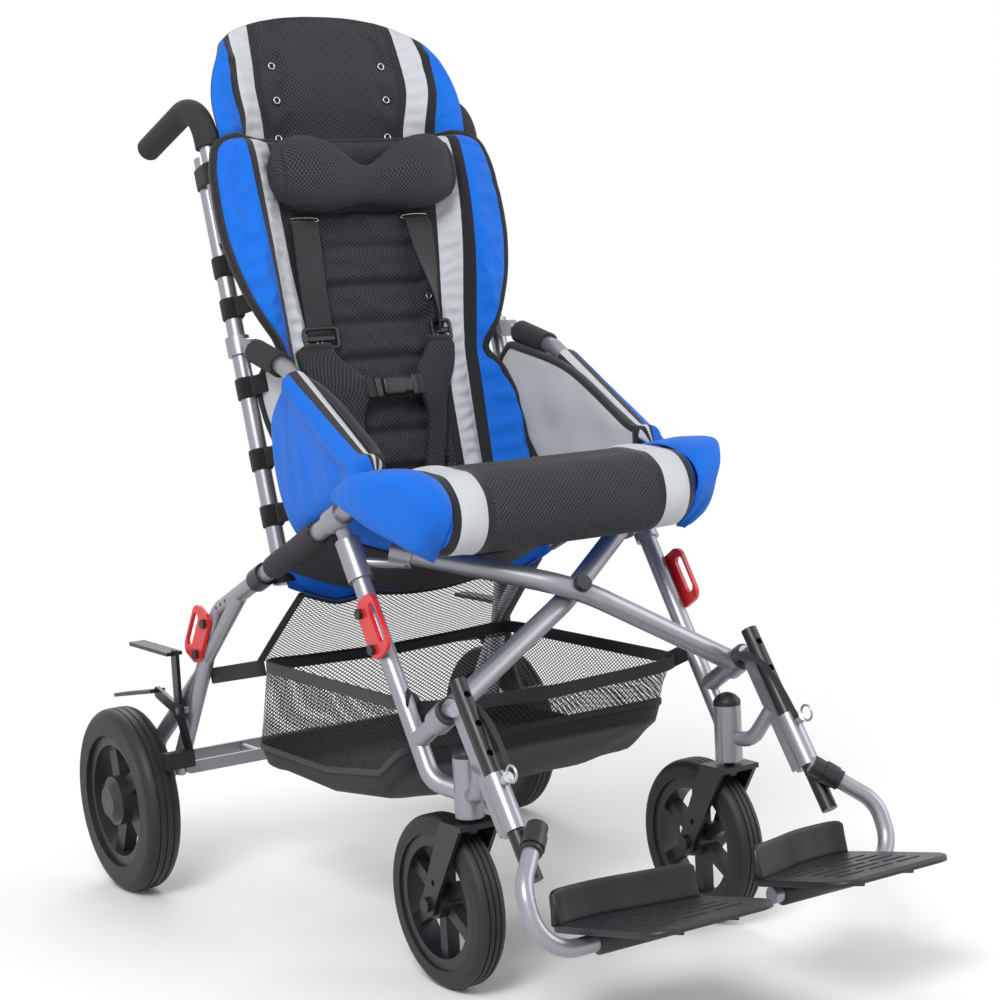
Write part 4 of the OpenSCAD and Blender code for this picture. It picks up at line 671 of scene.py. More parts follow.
def lanyard(side, s):
    """Flat webbing on a cubic curve from the collar on the leg stub to the pull pin."""
    leg_dir, leg_ahead = np.array([0, 0.53388, 0.84558]), np.array([0, -0.84558, 0.53388])
    slide_dir = np.array([0, -0.56347, -0.82613])
    a, e = np.array([0, -0.23435, 0.33238]), np.array([0, -0.33842, 0.27414])
    b, c = a + leg_ahead * 0.048 - leg_dir * 0.0048, e - slide_dir * 0.048
    t = np.linspace(0, 1, 28)[:, None]
    path = a * (1 - t) ** 3 + b * 3 * t * (1 - t) ** 2 + c * 3 * t**2 * (1 - t) + e * t**3
    path[:, 0] = s * (0.1919 + 0.0055 * t[:, 0])
    cut = Cut()
    cut.sweep(path, round_profile(0.005, 0.0007, 12, 4.0), (1, 0, 0))
    piece = cut.make(side + "_lanyard_webbing", [strap_webbing])
    fit(piece, side + "_frame", [side + "_lanyard"], None)


for side, s in SIDES:
    lanyard(side, s)


# Back and head pads

def zones(knots, counts, squeeze):
    """Columns of a pad whose zones keep their order where the outline cuts into them."""
    room = knots[:, -1:] - squeeze * np.arange(knots.shape[1] - 1, -1, -1)
    return columns(np.minimum(knots, np.maximum(room, 0)), counts)


def zone_kinds(zone, rows):
    """Finish of each face of a pad, by zone from the middle outwards: mesh, tape, stripe, tape, cloth."""
    return np.broadcast_to(np.array([0, 1, 2, 1, 3])[zone], (rows, len(zone)))


def stripe_relief(x, z, inner, width, seed):
    """Height of the grey stripe and its bindings: a low roll with cross puckers, and flat raised tapes
    beside it."""
    a = np.abs(x)
    t = (a - inner) / width
    pucker = 0.0019 * np.sin(z * 2 * np.pi / 0.017 + 4 * ripple(a, z, seed, 0.05, 0.12))
    roll = np.where((t > 0) & (t < 1), (0.0048 + pucker) * bulge(t), 0)
    near, far = 0.011, 0.0145
    inner_tape = ease(a, inner - far, inner - near)
    outer_tape = ease(a, inner + width + near, inner + width + far)
    return roll + 0.0016 * (inner_tape - outer_tape)


def on_tape(x, middle):
    """Points of a pad that lie on a tape, whose middle line is given as a distance from the pad's middle."""
    return np.abs(np.abs(x) - middle) < 0.007


def eyelet(cut, x, z, ahead, radius=0.0042):
    """A pressed metal eyelet: a round rim with a near-black disc in it, painted shade for its hole."""
    p = on_back(x, z, ahead)
    cut.ring(p, AHEAD, radius, 0.0010, 0)
    r = np.array([1e-5, 0.5, 1.0]) * radius
    # The well is a near-black disc of painted shade.
    cut.lathe(p + AHEAD * 0.0004, AHEAD, np.stack([r, np.array([-0.0010, -0.0009, 0.0])], -1), 1, 20)


def back_cushion():
    """Back pad: a shell that follows the sag, sewn in channels, with puckered stripes, and wings drawn in
    at the armrests."""
    # Rows from the seat up, and half the pad's width at each
    top = 0.981
    z = np.linspace(BACK_LOW, top, 112)[:, None]
    v = (z - BACK_LOW) / (top - BACK_LOW)
    heights = [0.484, 0.56, 0.62, 0.66, 0.70, 0.72, 0.75, 0.80, 0.85, 0.90, 0.95, 0.968, 0.976, 0.981]
    half = through(z, heights, [0.168, 0.174, 0.172, 0.163, 0.151, 0.161, 0.178,
                                0.198, 0.208, 0.209, 0.203, 0.195, 0.184, 0.168])
    # Zones across, from the middle outwards: mesh, tape, stripe, tape, wing
    inner = through(z, [0.484, 0.58, 0.74, 0.84, 0.90, 0.985], [0.090, 0.094, 0.104, 0.114, 0.118, 0.119])
    width = 0.0275
    knots = np.concatenate([0 * z, inner - TAPE_W, inner, inner + width, inner + width + TAPE_W, half], 1)
    x, zone = zones(knots, (20, 3, 7, 3, 13), 0.0016)
    s = np.abs(x) / half
    # The pad thins towards its edges, seams pull the channels in, and the wings crease
    side_edge = 0.32 + 0.68 * np.sqrt(np.clip(1 - s**6, 0, 1))
    edge = side_edge * (0.3 + 0.7 * np.sqrt(np.clip(1 - np.abs(2 * v - 1)**24, 0, 1)))
    flat = 1 - ease(np.abs(x), inner - 0.030, inner - 0.012)
    sewn = 0.0190 * (1 - channel(z)) * flat
    wing = ease(np.abs(x), inner + width + 0.013, inner + width + 0.03)
    low_creases = 0.0030 * ripple(x * 0.4, z, 8, 0.03, 0.07) * ease(-z, -0.76, -0.66)
    soft = (0.0020 * ripple(x, z, 3, 0.02, 0.08) + low_creases) * wing
    sag = back_sag(x, z)
    front = BACK_GAP - sag + BACK_THICK * edge - sewn + stripe_relief(x, z, inner, width, 5) + soft
    rear = BACK_GAP - sag + 0.0006 + 0.008 * ease(s, 0.86, 1.0)
    f, r = on_back(x, z, front), on_back(x, z, rear)
    cut = Cut()
    cut.slab(f, r, zone_kinds(zone, len(z) - 1), 4, 1)
    pad = cut.make("back_cushion", PAD_FINISHES, False)
    # The filling swells between the pinned seams, tapes and rim; the rear stays
    turn = (z - SEAM_Z) / SEAM_PITCH
    seam = (np.abs(turn - np.round(turn)) < 0.07) & (np.abs(x) < inner - 0.012)
    tapes = on_tape(x, inner - 0.006) | on_tape(x, inner + width + 0.006)
    rim = (s > 0.97) | (v < 0.02) | (v > 0.975)
    pinned = (seam | tapes | rim).ravel()
    swell(pad, np.concatenate([pinned, np.ones(x.size, bool)]), 4.0, 0.006)
    finer(pad)
    fit(pad, "left_frame", ["back_pad"])
    trim = Cut()
    trim.sweep(even(outline(f, r), 0.006), round_profile(0.0050, 0.0062, 14, 3.0), AHEAD, 0, True)
    fit(trim.make("back_edge_tape", [binding_tape]), "left_frame", ())
    eyes = Cut()
    for sx in (-0.087, 0.087):
        for ez in (0.862, 0.818, 0.772, 0.722):
            eyelet(eyes, sx, ez, float(back_face(np.array(sx), np.array(ez))) + 0.0030, 0.0036)
    fit(eyes.make("back_eyelets", [zinc, painted_gap_shade]), "left_frame", ())


def back_face(x, z):
    """How far ahead of the canes the back pad's front lies, without its channels."""
    return BACK_GAP + BACK_THICK - back_sag(x, z)


def head_cushion():
    """Head pad: a thinner shell behind the back pad's top, with a rounded outline, stripes and pulled-in
    eyelets."""
    # Rows from the bottom up, closer together near the rounded top
    t = np.linspace(0, 1, 72)[:, None]
    z = HEAD_LOW + (HEAD_TOP - HEAD_LOW) * (1 - (1 - t) ** 1.7)
    heights = [0.905, 0.95, 1.0, 1.03, 1.06, 1.095, 1.115, 1.127, 1.137, 1.1435, 1.1475, 1.149]
    half = through(z, heights, [0.168, 0.178, 0.186, 0.186, 0.179, 0.161,
                                0.146, 0.129, 0.104, 0.074, 0.042, 0.014])
    inner = through(z, [0.9, 1.0, 1.05, 1.08, 1.15], [0.104, 0.106, 0.114, 0.112, 0.106])
    width = 0.029
    knots = np.concatenate([0 * z, inner - TAPE_W, inner, inner + width, inner + width + 0.011, half], 1)
    x, zone = zones(knots, (24, 3, 7, 3, 9), 0.0003)
    s = np.abs(x) / half
    v = (z - HEAD_LOW) / (HEAD_TOP - HEAD_LOW)
    edge = np.sqrt(np.clip(1 - s**7, 0, 1)) * np.sqrt(np.clip(1 - np.abs(2 * v - 1)**16, 0, 1))
    sag = head_sag(x, z)
    front = HEAD_GAP - sag + 0.0125 + 0.0045 * edge + 0.7 * stripe_relief(x, z, inner, width, 9) * edge
    below_top = 1 - ease(z, 1.08, 1.125)
    wing = ease(z, 0.95, 1.0) * below_top
    front = front + 0.0012 * ripple(x, z, 4, 0.04, 0.13) * edge + 0.008 * ease(s, 0.75, 1.0) * wing
    # Dimples round the eyelets, by squared distance
    eye_gap = [(np.abs(x) - EYELET_X) ** 2 + (z - eye_z) ** 2 for eye_z in EYELET_Z]
    for gap in eye_gap:
        front = front - 0.005 * np.exp(-gap / 0.011**2)
    rear = HEAD_GAP - sag + (0.0105 + 0.008 * wing) * (1 - edge) * ease(s, 0.5, 1.0) * below_top
    rear = rear + 0.006 * ease(v, 0.97, 1.0)
    f, r = on_back(x, z, front), on_back(x, z, rear)
    cut = Cut()
    cut.slab(f, r, zone_kinds(zone, len(z) - 1), 4, 4)
    pad = cut.make("head_cushion", PAD_FINISHES, False)
    seam = on_tape(x, inner - 0.006)
    rim = (s > 0.97) | (v < 0.03) | (v > 0.97)
    hole = np.min(eye_gap, axis=0) < 0.007**2
    swell(pad, np.concatenate([(seam | rim | hole).ravel(), np.ones(x.size, bool)]), 3.0, 0.005)
    finer(pad)
    fit(pad, "left_frame", ["head_pad"])
    eyes = Cut()
    for eye_x in (-EYELET_X, EYELET_X):
        for eye_z in EYELET_Z:
            ahead = HEAD_GAP - head_sag(np.array(eye_x), np.array(eye_z)) + 0.0170 - 0.0018
            eyelet(eyes, eye_x, eye_z, float(ahead))
    fit(eyes.make("head_eyelets", [zinc, painted_gap_shade]), "left_frame", ())


back_cushion()
head_cushion()


def headrest():
    """Headrest: rounded sections carried across, low and thin in the middle and full at the two lobes."""
    half_w, end_x, mid_z = 0.1375, 0.1376, 0.924
    t = np.linspace(-1, 1, 65)
    x = half_w * np.sin(t * np.pi / 2)[:, None]
    # dip is 1 in the middle between the lobes; end closes both ends
    dip = np.exp(-((x / 0.046) ** 2))
    end = np.clip(1 - np.abs(x / end_x) ** 4.5, 0, 1) ** 0.42
    upper = 0.047 * (1 - 0.74 * dip) * end + 0.008 * ease(np.abs(x), 0.06, 0.13) * end
    lower = 0.048 * (1 - 0.30 * dip) * end
    deep = 0.060 * (1 - 0.34 * dip) * end
    a = np.linspace(0, 2 * np.pi, 40, endpoint=False)[None, :]
    c, s = np.cos(a), np.sin(a)
    z = mid_z - 0.003 * dip + np.where(s > 0, upper, lower) * blunt(s, 0.85)
    rear = back_face(x, z) + 0.0025 + 0.009 * (1 - end)
    ahead = rear + deep * (1 + blunt(c, 0.85)) / 2 + 0.0008 * ripple(x, z, 12, 0.03, 0.08)
    p = on_back(x + 0 * z, z, ahead)
    round_it = 0.052 * np.linspace(0, 2 * np.pi, 41)[None, :]
    cut = Cut()
    cut.grid(p, 0, True, np.stack(np.broadcast_arrays(x, round_it), -1))
    cut.lid(p[0])
    cut.lid(p[-1, ::-1])
    for k in (9, 55):
        front = np.concatenate([p[k, -12:], p[k, :13]])
        cut.sweep(front + AHEAD * 0.0002, round_profile(0.0010, 0.0010, 8), (1, 0, 0.2), 1)
    pad = cut.make("headrest_pad", [vest_mesh, binding_tape])
    finer(pad)
    fit(pad, "left_frame", ["headrest"])


headrest()


# Seat

def seat_cushion():
    """Seat pad: a closed section from the rear edge over the top, round the front roll and back underneath,
    carried across; each end is drawn together to a seam."""
    rear_y, fore_y = 0.148, -0.150
    roll_y, roll_z, roll_r = -0.157, 0.536, 0.048
    half_w, nose_z = 0.190, 0.488
    mesh_x, stripe_x, stripe_end, tape_end = 0.115, 0.125, 0.1605, 0.1705
    # Rows of the section: top, front roll, underside and rear edge
    top_y = np.linspace(rear_y, fore_y, 44)
    arc = np.linspace(np.pi / 2, -np.pi / 2, 34)
    low_y = np.linspace(fore_y, rear_y, 34)
    rear = np.linspace(-np.pi / 2, np.pi / 2, 7)[1:-1]
    top_z = through(top_y[::-1], [-0.15, -0.12, -0.09, -0.04, 0.05, 0.148],
                    [0.5845, 0.5865, 0.583, 0.566, 0.528, 0.484])[::-1]
    yy = np.concatenate([top_y, roll_y - roll_r * np.cos(arc), low_y,
                         rear_y + 0.006 * np.cos(rear)])[:, None]
    zz = np.concatenate([top_z, roll_z + roll_r * np.sin(arc), rail_z(low_y),
                         0.475 + 0.009 * np.sin(rear)])[:, None]
    rows = np.arange(len(yy))[:, None]
    first_low = len(top_y) + len(arc)
    after_low = first_low + len(low_y)
    low = (rows >= first_low) & (rows < after_low)
    lean = ease(-yy, 0.09, 0.15)
    half = half_w + lean * (-0.013 + 0.010 * np.clip((zz - nose_z) / (2 * roll_r), 0, 1))
    lines = [k + 0 * yy for k in (mesh_x, stripe_x, stripe_end, tape_end)]
    knots = np.concatenate([0 * yy] + lines + [half], 1)
    x, zone = zones(knots, (26, 3, 9, 3, 10), 0.0012)
    u = np.abs(x) / half
    # The underside lies on the sling and lifts off it towards the front roll
    sling = sling_z(np.clip(np.abs(x), 0, 0.209), yy) + 0.0004
    nose = nose_z + 0.010 * ease(yy, -0.15, -0.07)
    hung = ease(yy, -0.125, -0.072)
    z = np.where(low, nose * (1 - hung) + sling * hung, zz)
    z = z - np.where(rows < len(top_y), 0.012 * (1 - (x / half_w) ** 2) * ease(yy, -0.10, 0.0), 0)
    # Both ends are drawn together to a seam line
    end = np.clip(1 - u ** 26, 0, 1) ** 0.45
    seam_y = yy * (1 - lean) - 0.162 * lean
    seam_z = (rail_z(yy) + 0.012) * (1 - lean) + 0.540 * lean
    # The stripe's roll and soft waves stand out from the surface
    roll = 0.0035 * bulge(np.clip((np.abs(x) - stripe_x) / (stripe_end - stripe_x), 0, 1))
    fine = 0.0006 * ripple(x, yy + zz, 22, 0.04, 0.15)
    wave = 0.0012 * ripple(x, yy + zz, 21, 0.03, 0.10) * ease(u, 0.55, 0.7) + fine
    out_y = -np.cos(np.arctan2(zz - roll_z, roll_y - yy)) * lean
    out_z = np.where(low, 0, 1 - 0.5 * lean)
    p = np.stack([x, seam_y + (yy - seam_y) * end + out_y * (roll + wave),
                  seam_z + (z - seam_z) * end + out_z * (roll + wave)], -1)
    cut = Cut()
    under = (rows > first_low) & (rows <= after_low)
    cut.grid(np.concatenate([p, p[:1]]), np.where(under, 3, zone_kinds(zone, len(yy))))
    pad = cut.make("seat_cushion", PAD_FINISHES[:4])
    finer(pad)
    fit(pad, "left_frame", ["seat_pad"])


def seat_wings():
    """Soft side wings of the seat pad: arcs from the pad over a fold and down to a hem, which covers the
    rails' front."""
    k = np.array([0, 0.2, 0.45, 0.6, 0.8, 1.0])
    root = np.array([[0.170, -0.042, 0.566], [0.172, -0.09, 0.5815], [0.1725, -0.15, 0.5835],
                     [0.1725, -0.190, 0.5705], [0.1725, -0.2035, 0.538], [0.1725, -0.158, 0.4885]])
    fold = np.array([[0.233, -0.060, 0.567], [0.238, -0.088, 0.5755], [0.238, -0.136, 0.585],
                     [0.226, -0.173, 0.584], [0.198, -0.198, 0.545], [0.1745, -0.164, 0.487]])
    hem = np.array([[0.238, -0.054, 0.557], [0.238, -0.084, 0.546], [0.229, -0.118, 0.527],
                    [0.219, -0.142, 0.516], [0.206, -0.168, 0.503], [0.1775, -0.168, 0.4865]])
    # Three lines along the wing, joined across by a blend of a smooth arc and a bent leaf
    at = np.linspace(0, 1, 34)
    line = [np.stack([through(at, k, q[:, i]) for i in range(3)], -1)[:, None] for q in (root, fold, hem)]
    t = np.linspace(0, 1, 24)[None, :, None]
    mid = 2 * line[1] - (line[0] + line[2]) / 2
    arc = line[0] * (1 - t) ** 2 + mid * 2 * t * (1 - t) + line[2] * t**2
    to_fold = line[0] + (line[1] - line[0]) * 2 * t
    to_hem = line[1] + (line[2] - line[1]) * (2 * t - 1)
    bent = np.where(t < 0.5, to_fold, to_hem)
    p = 0.55 * arc + 0.45 * bent
    normal = unit(np.cross(np.gradient(p, axis=1), np.gradient(p, axis=0)))
    s = at[:, None, None]
    p = p + normal * (0.0038 * ripple(s * 0.25, t * 0.10, 61, 0.03, 0.09) * bulge(t, 3) * bulge(s, 3))
    thick = 0.0060 * np.clip(bulge(t, 4), 0.2, 1) * np.clip(bulge(s, 6), 0.25, 1)
    cut, trim = Cut(), Cut()
    for sign in (-1.0, 1.0):
        m = np.array([sign, 1, 1])
        cut.slab(p * m, (p - normal * thick) * m, 0, 0, 0)
        trim.sweep(p[:, -1] * m, round_profile(0.0013, 0.0013, 8), (0, 0, 1), 0)
    piece = cut.make("seat_side_wings", [blue_nylon], False)
    finer(piece)
    fit(piece, "left_frame", ())
    fit(trim.make("seat_wing_hem", [blue_nylon]), "left_frame", ())


def sling():
    """Seat sling: a mesh sheet that sags between the rails, with a sleeve round each rail and a blue flap
    behind."""
    half_w, rear_y, fore_y = 0.2085, 0.140, 0.0185
    flap_y, sleeve_r = 0.1492, 0.0148
    x = np.linspace(-half_w, half_w, 61)[None, :]
    y = np.linspace(rear_y, fore_y, 26)[:, None]
    f = np.stack([x + 0 * y, y + 0 * x, sling_z(x, y) - 0.0005], -1)
    cut = Cut()
    cut.slab(f, f - [0, 0, 0.0024], 0, 0, 1)
    piece = cut.make("seat_sling_sheet", [spacer_mesh, binding_tape])
    fit(piece, "left_frame", ["seat_sling"], RAIL_FOLD)
    v = np.linspace(0, 1, 12)[:, None]
    w = x * 0.95
    hem_z = sling_z(w, HEM_Y) + 0.004 - (0.007 + 0.020 * ease(np.abs(w), 0.07, 0.14)) * v
    hem_y = flap_y + 0.006 * np.sin(np.pi * v) + 0.0012 * ripple(w, v * 0.02, 71, 0.03, 0.08)
    g = np.stack([w + 0 * v, hem_y + 0 * w, hem_z], -1)
    flap = Cut()
    flap.slab(g, g + [0, 0.0016, 0], 0, 0, 0)
    piece = flap.make("seat_rear_flap", [blue_nylon])
    fit(piece, "left_frame", (), RAIL_FOLD)
    for side, s in SIDES:
        sleeve = Cut()
        path = np.stack([0 * y[:, 0] + s * RAIL_X, y[:, 0], rail_z(y[:, 0])], -1)
        size = 1 + 0.03 * np.sin(np.linspace(0, 9, len(path)))
        sleeve.sweep(path, round_profile(sleeve_r, sleeve_r, 28), (1, 0, 0), 0, False, size)
        fit(sleeve.make(side + "_rail_sleeve", [spacer_mesh]), side + "_frame", (), None)


seat_cushion()
seat_wings()
sling()


# Armrest panels

def arm_cover(side, s):
    """Armrest cover: tear-drop sections along the arm, over the tube in front and hanging outside below it,
    blue outside and grey inside, bound along its crest and behind."""
    n, m = 40, 56
    # t runs down from the crest and v runs back along the arm
    q = np.linspace(0, 1, n)[None, :]
    t = 0.75 * q**2 + 0.25 * q
    v = np.linspace(0, 1, m)[:, None]
    rear = through(t, [0, 0.12, 0.35, 0.62, 0.82, 1.0], [0.118, 0.150, 0.158, 0.147, 0.130, 0.106])
    nose = -0.0880
    y = nose + (rear - nose) * (0.12 * v ** 0.5 + 0.88 * v)
    over = 1 - ease(y, 0.096, 0.0985)
    top = arm_z(np.maximum(y, -0.062)) + ARM_ROLL_R * over - 0.0125 * (1 - over) - 0.026 * ease(y, 0.10, 0.16)
    top = top - 0.030 * ease(-y, 0.077, 0.088) ** 2
    low = rail_z(y) + 0.0185
    z = top + (low - top) * t
    # Round over the tube, and a thin wall below it and behind it
    drop = top - ARM_ROLL_R - z
    on_tube = np.sqrt(np.clip(ARM_ROLL_R**2 - drop**2, 0, None))
    below = ARM_ROLL_R - 0.0100 * ease(drop, 0, 0.03)
    tube = np.where(drop < 0, on_tube, below) * 1.03
    wall = tube * over + 0.0045 * np.clip(bulge(t, 8), 0.12, 1) * (1 - over)
    # Filling and creases outside, and tapering ends
    puff = 0.0125 * bulge(t, 2.4) * bulge(v, 2.6)
    fold = 0.0042 * ripple(y * 1.5, z, 31, 0.045, 0.12) * bulge(t, 2) * bulge(v, 2)
    taper = np.clip(1 - ease(-y, 0.076, 0.088) ** 2, 0.08, 1) * np.clip(bulge(0.5 + v / 2, 10), 0.3, 1)
    rim = np.clip(bulge(t, 12), 0.1, 1) ** 0.5
    out, inn = (wall * rim + puff + fold) * taper, (wall * rim) * taper
    arm_x = 0.1982
    cx = arm_x + (RAIL_X - arm_x) * ease(-y, 0.02, 0.07) * ease(t, 0.35, 1.0)
    outside, inside = np.stack([cx + out, y, z], -1), np.stack([cx - inn, y, z], -1)
    loop = np.concatenate([outside, inside[:, ::-1]], 1) * [s, 1, 1]
    row, col = np.arange(m - 1)[:, None], np.arange(2 * n)[None, :]
    cut = Cut()
    bound = (row > m - 4) | (col < 2) | ((col > 2 * n - 13) & (col < 2 * n - 4))
    cut.grid(loop, np.where(bound, 1, np.where(col >= n, 2, 0)), wrap=True)
    cut.lid(loop[0], 0)
    cut.lid(loop[-1, ::-1], 1)
    piece = cut.make(side + "_arm_cover", [blue_nylon, binding_tape, grey_cloth])
    finer(piece)
    fit(piece, side + "_armrest", [side + "_arm_panel"], None)


def arm_lining(side, s):
    """Inner panel of an armrest: a thin padded leaf, grey, bound all round with black tape."""
    n, m = 30, 46
    # t runs down and v runs back; the top is a smooth minimum of the arm and a straight line
    t = np.linspace(0, 1, n)[None, :]
    v = np.linspace(0, 1, m)[:, None]
    rear = through(t, [0, 0.12, 0.25, 0.5, 0.75, 1.0], [0.196, 0.222, 0.214, 0.166, 0.128, 0.098])
    fore, soft = -0.072, 0.008
    y = fore + (rear - fore) * v
    arm, line = arm_z(np.maximum(y, -0.066)) + 0.013, 0.668 + 0.2 * y
    top = -soft * np.logaddexp(-arm / soft, -line / soft)
    low = rail_z(y) + 0.026
    z = top + (low - top) * t
    puff = bulge(t, 2.6) * bulge(v, 2.6)
    crease = 0.0030 * ripple(y * 1.3, z, 33, 0.05, 0.12) * puff
    x_out = 0.1828 - 0.0010 * puff + 0.004 * ease(-y, 0.05, 0.075)
    x_in = x_out - 0.0030 - 0.0060 * puff - crease
    f, r = np.stack([s * x_in, y, z], -1), np.stack([s * (x_out + 0 * x_in), y, z], -1)
    cut, trim = Cut(), Cut()
    cut.slab(f, r, 0, 0, 0)
    piece = cut.make(side + "_arm_lining", [grey_cloth], False)
    finer(piece)
    fit(piece, side + "_armrest", (), None)
    trim.sweep(even(outline(f, r), 0.005), round_profile(0.0042, 0.0062, 14, 3.0), (1, 0, 0), 0, True)
    fit(trim.make(side + "_arm_edge_tape", [binding_tape]), side + "_armrest", (), None)


for side, s in SIDES:
    arm_cover(side, s)
    arm_lining(side, s)


# Harness

def strap(cut, path, half_w, thick, ref):
    """Flat webbing carried along a path."""
    cut.sweep(path, round_profile(half_w, thick / 2, 14, 5.0), ref)


def shoulder_strap(web, hard, s):
    """Shoulder strap from its slot to its slide, with the slot's oval rim. The left one sways outwards and
    turns on edge on the way down, as in the photograph."""
    z = np.linspace(0.8735, 0.730, 30)
    if s > 0:
        sway, turn = 0.012 * ease(-z, -0.86, -0.73), ease(-z, -0.87, -0.74)[:, None]
    else:
        sway, turn = 0.004 * np.sin((z - 0.73) * 22), np.zeros((len(z), 1))
    x = s * (STRAP_X + sway)
    lift = 0.003 + 0.012 * bulge((z - 0.728) / 0.147, 2)
    path = on_back(x, z, back_face(x, z) - 0.004 + lift)
    strap(web, path, 0.019, 0.0022, AHEAD * np.cos(turn) + np.array([1.0, 0, 0]) * np.sin(turn))
    a = np.linspace(0, 2 * np.pi, 48, endpoint=False)
    slot = on_back(s * STRAP_X + 0.023 * np.cos(a), SLOT_Z + 0.0035 * np.sin(a), 0.0)
    slot = slot + AHEAD * (back_face(np.array(s * STRAP_X), np.array(SLOT_Z)) - 0.0005)
    hard.sweep(slot, round_profile(0.0009, 0.0009, 8), AHEAD, 1, True)


def strap_slide(hard, s):
    """Slide of a shoulder strap: a squared-off ring with a bar across; the left one is narrow."""
    mid_x, slim = (s * 0.086 + 0.010, 0.55) if s > 0 else (s * 0.086, 1.0)
    a = np.linspace(0, 2 * np.pi, 48, endpoint=False)
    x = mid_x + 0.0245 * slim * blunt(np.cos(a), 0.3)
    z = SLIDE_Z + 0.0125 * blunt(np.sin(a), 0.3)
    hard.sweep(on_back(x, z, back_face(x, z) + 0.006), round_profile(0.0024, 0.0022, 10, 3.0), AHEAD, 0, True)
    bar = on_back(mid_x + slim * np.linspace(-0.023, 0.023, 8), SLIDE_Z, 0.0)
    bar = bar + AHEAD * (back_face(np.array(mid_x), np.array(SLIDE_Z)) + 0.0045)
    hard.sweep(bar, round_profile(0.004, 0.0018, 10, 3.0), AHEAD, 0)


def vest_half(vest, side, s):
    """Half of the padded vest: a thin slab between an inner and an outer line down the back, lifted towards
    the buckle, with bound edges."""
    heights = [0.53, 0.55, 0.58, 0.609, 0.632, 0.645, 0.665, 0.68, 0.694, 0.708, 0.722]
    inner = [0.030, 0.032, 0.040, 0.0475, 0.044, 0.036, 0.036, 0.045, 0.058, 0.068, 0.072]
    outer = {"left": [0.056, 0.060, 0.070, 0.079, 0.085, 0.090, 0.100, 0.108, 0.112, 0.114, 0.106],
             "right": [0.056, 0.060, 0.070, 0.079, 0.087, 0.094, 0.108, 0.119, 0.126, 0.128, 0.112]}
    rows, cols = 56, 17
    top, foot = heights[-1], heights[0]
    z = np.linspace(top, foot, rows)[:, None]
    u = np.linspace(0, 1, cols)[None, :]
    x_in, x_out = through(z, heights, inner), through(z, heights, outer[side])
    x = s * (x_in + (x_out - x_in) * u)
    bridge = 0.016 * np.exp(-(((z - BUCKLE_Z) / 0.035) ** 2)) * (1 - u) ** 1.2
    base = back_face(x, z) + 0.002 + bridge + 0.0012 * ripple(x, z, 41, 0.03, 0.08)
    edge = np.clip(bulge(u, 5) * np.clip(bulge((top - z) / (top - foot), 16), 0, 1), 0.18, 1)
    col, row = np.arange(cols - 1)[None, :], np.arange(rows - 1)[:, None]
    bound = (col < 1) | (col > cols - 3) | (row < 3)
    vest.slab(on_back(x, z, base + 0.007 * edge), on_back(x, z, base), np.where(bound, 1, 0), 1, 1)


def buckle(hard, face):
    """Buckle in front of the back's face: a body and a plug, each a rounded bar, and a loop at each end."""
    ahead = face + 0.0265
    for x0, x1, tall in ((-0.020, 0.011, 0.0125), (0.008, 0.022, 0.0105)):
        x = np.linspace(x0, x1, 12)
        size = 0.82 + 0.18 * bulge((x - x0) / (x1 - x0), 6)
        path = on_back(x, BUCKLE_Z, ahead)
        hard.sweep(path, round_profile(tall, 0.0052, 20, 4.0), AHEAD, 0, False, size)
    for s in (-1.0, 1.0):
        path = on_back(np.linspace(0.023, 0.031, 6) * s, BUCKLE_Z, ahead - 0.0005)
        hard.sweep(path, round_profile(0.0145, 0.0035, 16, 4.0), AHEAD, 0)


def harness():
    """Shoulder straps with their slides, padded vest halves that meet at the buckle, and its tabs."""
    face = float(back_face(np.array(0.0), np.array(BUCKLE_Z)))
    web, hard, vest = Cut(), Cut(), Cut()
    for side, s in SIDES:
        shoulder_strap(web, hard, s)
        strap_slide(hard, s)
        vest_half(vest, side, s)
        tab = on_back(s * np.linspace(0.010, 0.042, 10), BUCKLE_Z, 0.0)
        strap(web, tab + AHEAD * (face + 0.0245), 0.0125, 0.0030, AHEAD)
    buckle(hard, face)
    fit(web.make("harness_webbing", [strap_webbing]), "left_frame", ["harness"])
    fit(hard.make("harness_hardware", [moulded_black, zinc]), "left_frame", ())
    piece = vest.make("harness_vest", [vest_mesh, binding_tape], False)
    finer(piece)
    fit(piece, "left_frame", ())


harness()


# Basket

def basket_edge_z(y):
    """Height of the basket's bottom edge: level behind, rising in front."""
    return 0.179 + 0.060 * ease(-y, -0.01, 0.12)


def basket_wall():
    """Rings from the webbing rim down to the seam with the bottom: squared-off ovals with soft ripples."""
    a = np.linspace(0, 2 * np.pi, 144, endpoint=False)[None, :]
    t = np.linspace(0, 1, 14)[:, None]
    across, along = blunt(np.cos(a), 0.14), blunt(np.sin(a), 0.14)
    rear, fore = RIM_REAR + 0.036 * t, RIM_FORE + 0.028 * t
    y = (rear + fore) / 2 + (rear - fore) / 2 * along
    sag = 0.008 * np.sin(np.pi * (across + 1) / 2) * (1 - t)
    z = RIM_Z + (basket_edge_z(y) + 0.032 - RIM_Z) * t - sag
    x = (0.192 - 0.002 * t) * across
    soft = 0.004 * np.sin(np.pi * t) * ripple(a, t, 51, 0.8, 2.2)
    return np.stack([x - soft * np.cos(a), y - soft * np.sin(a), z + 0 * x], -1)


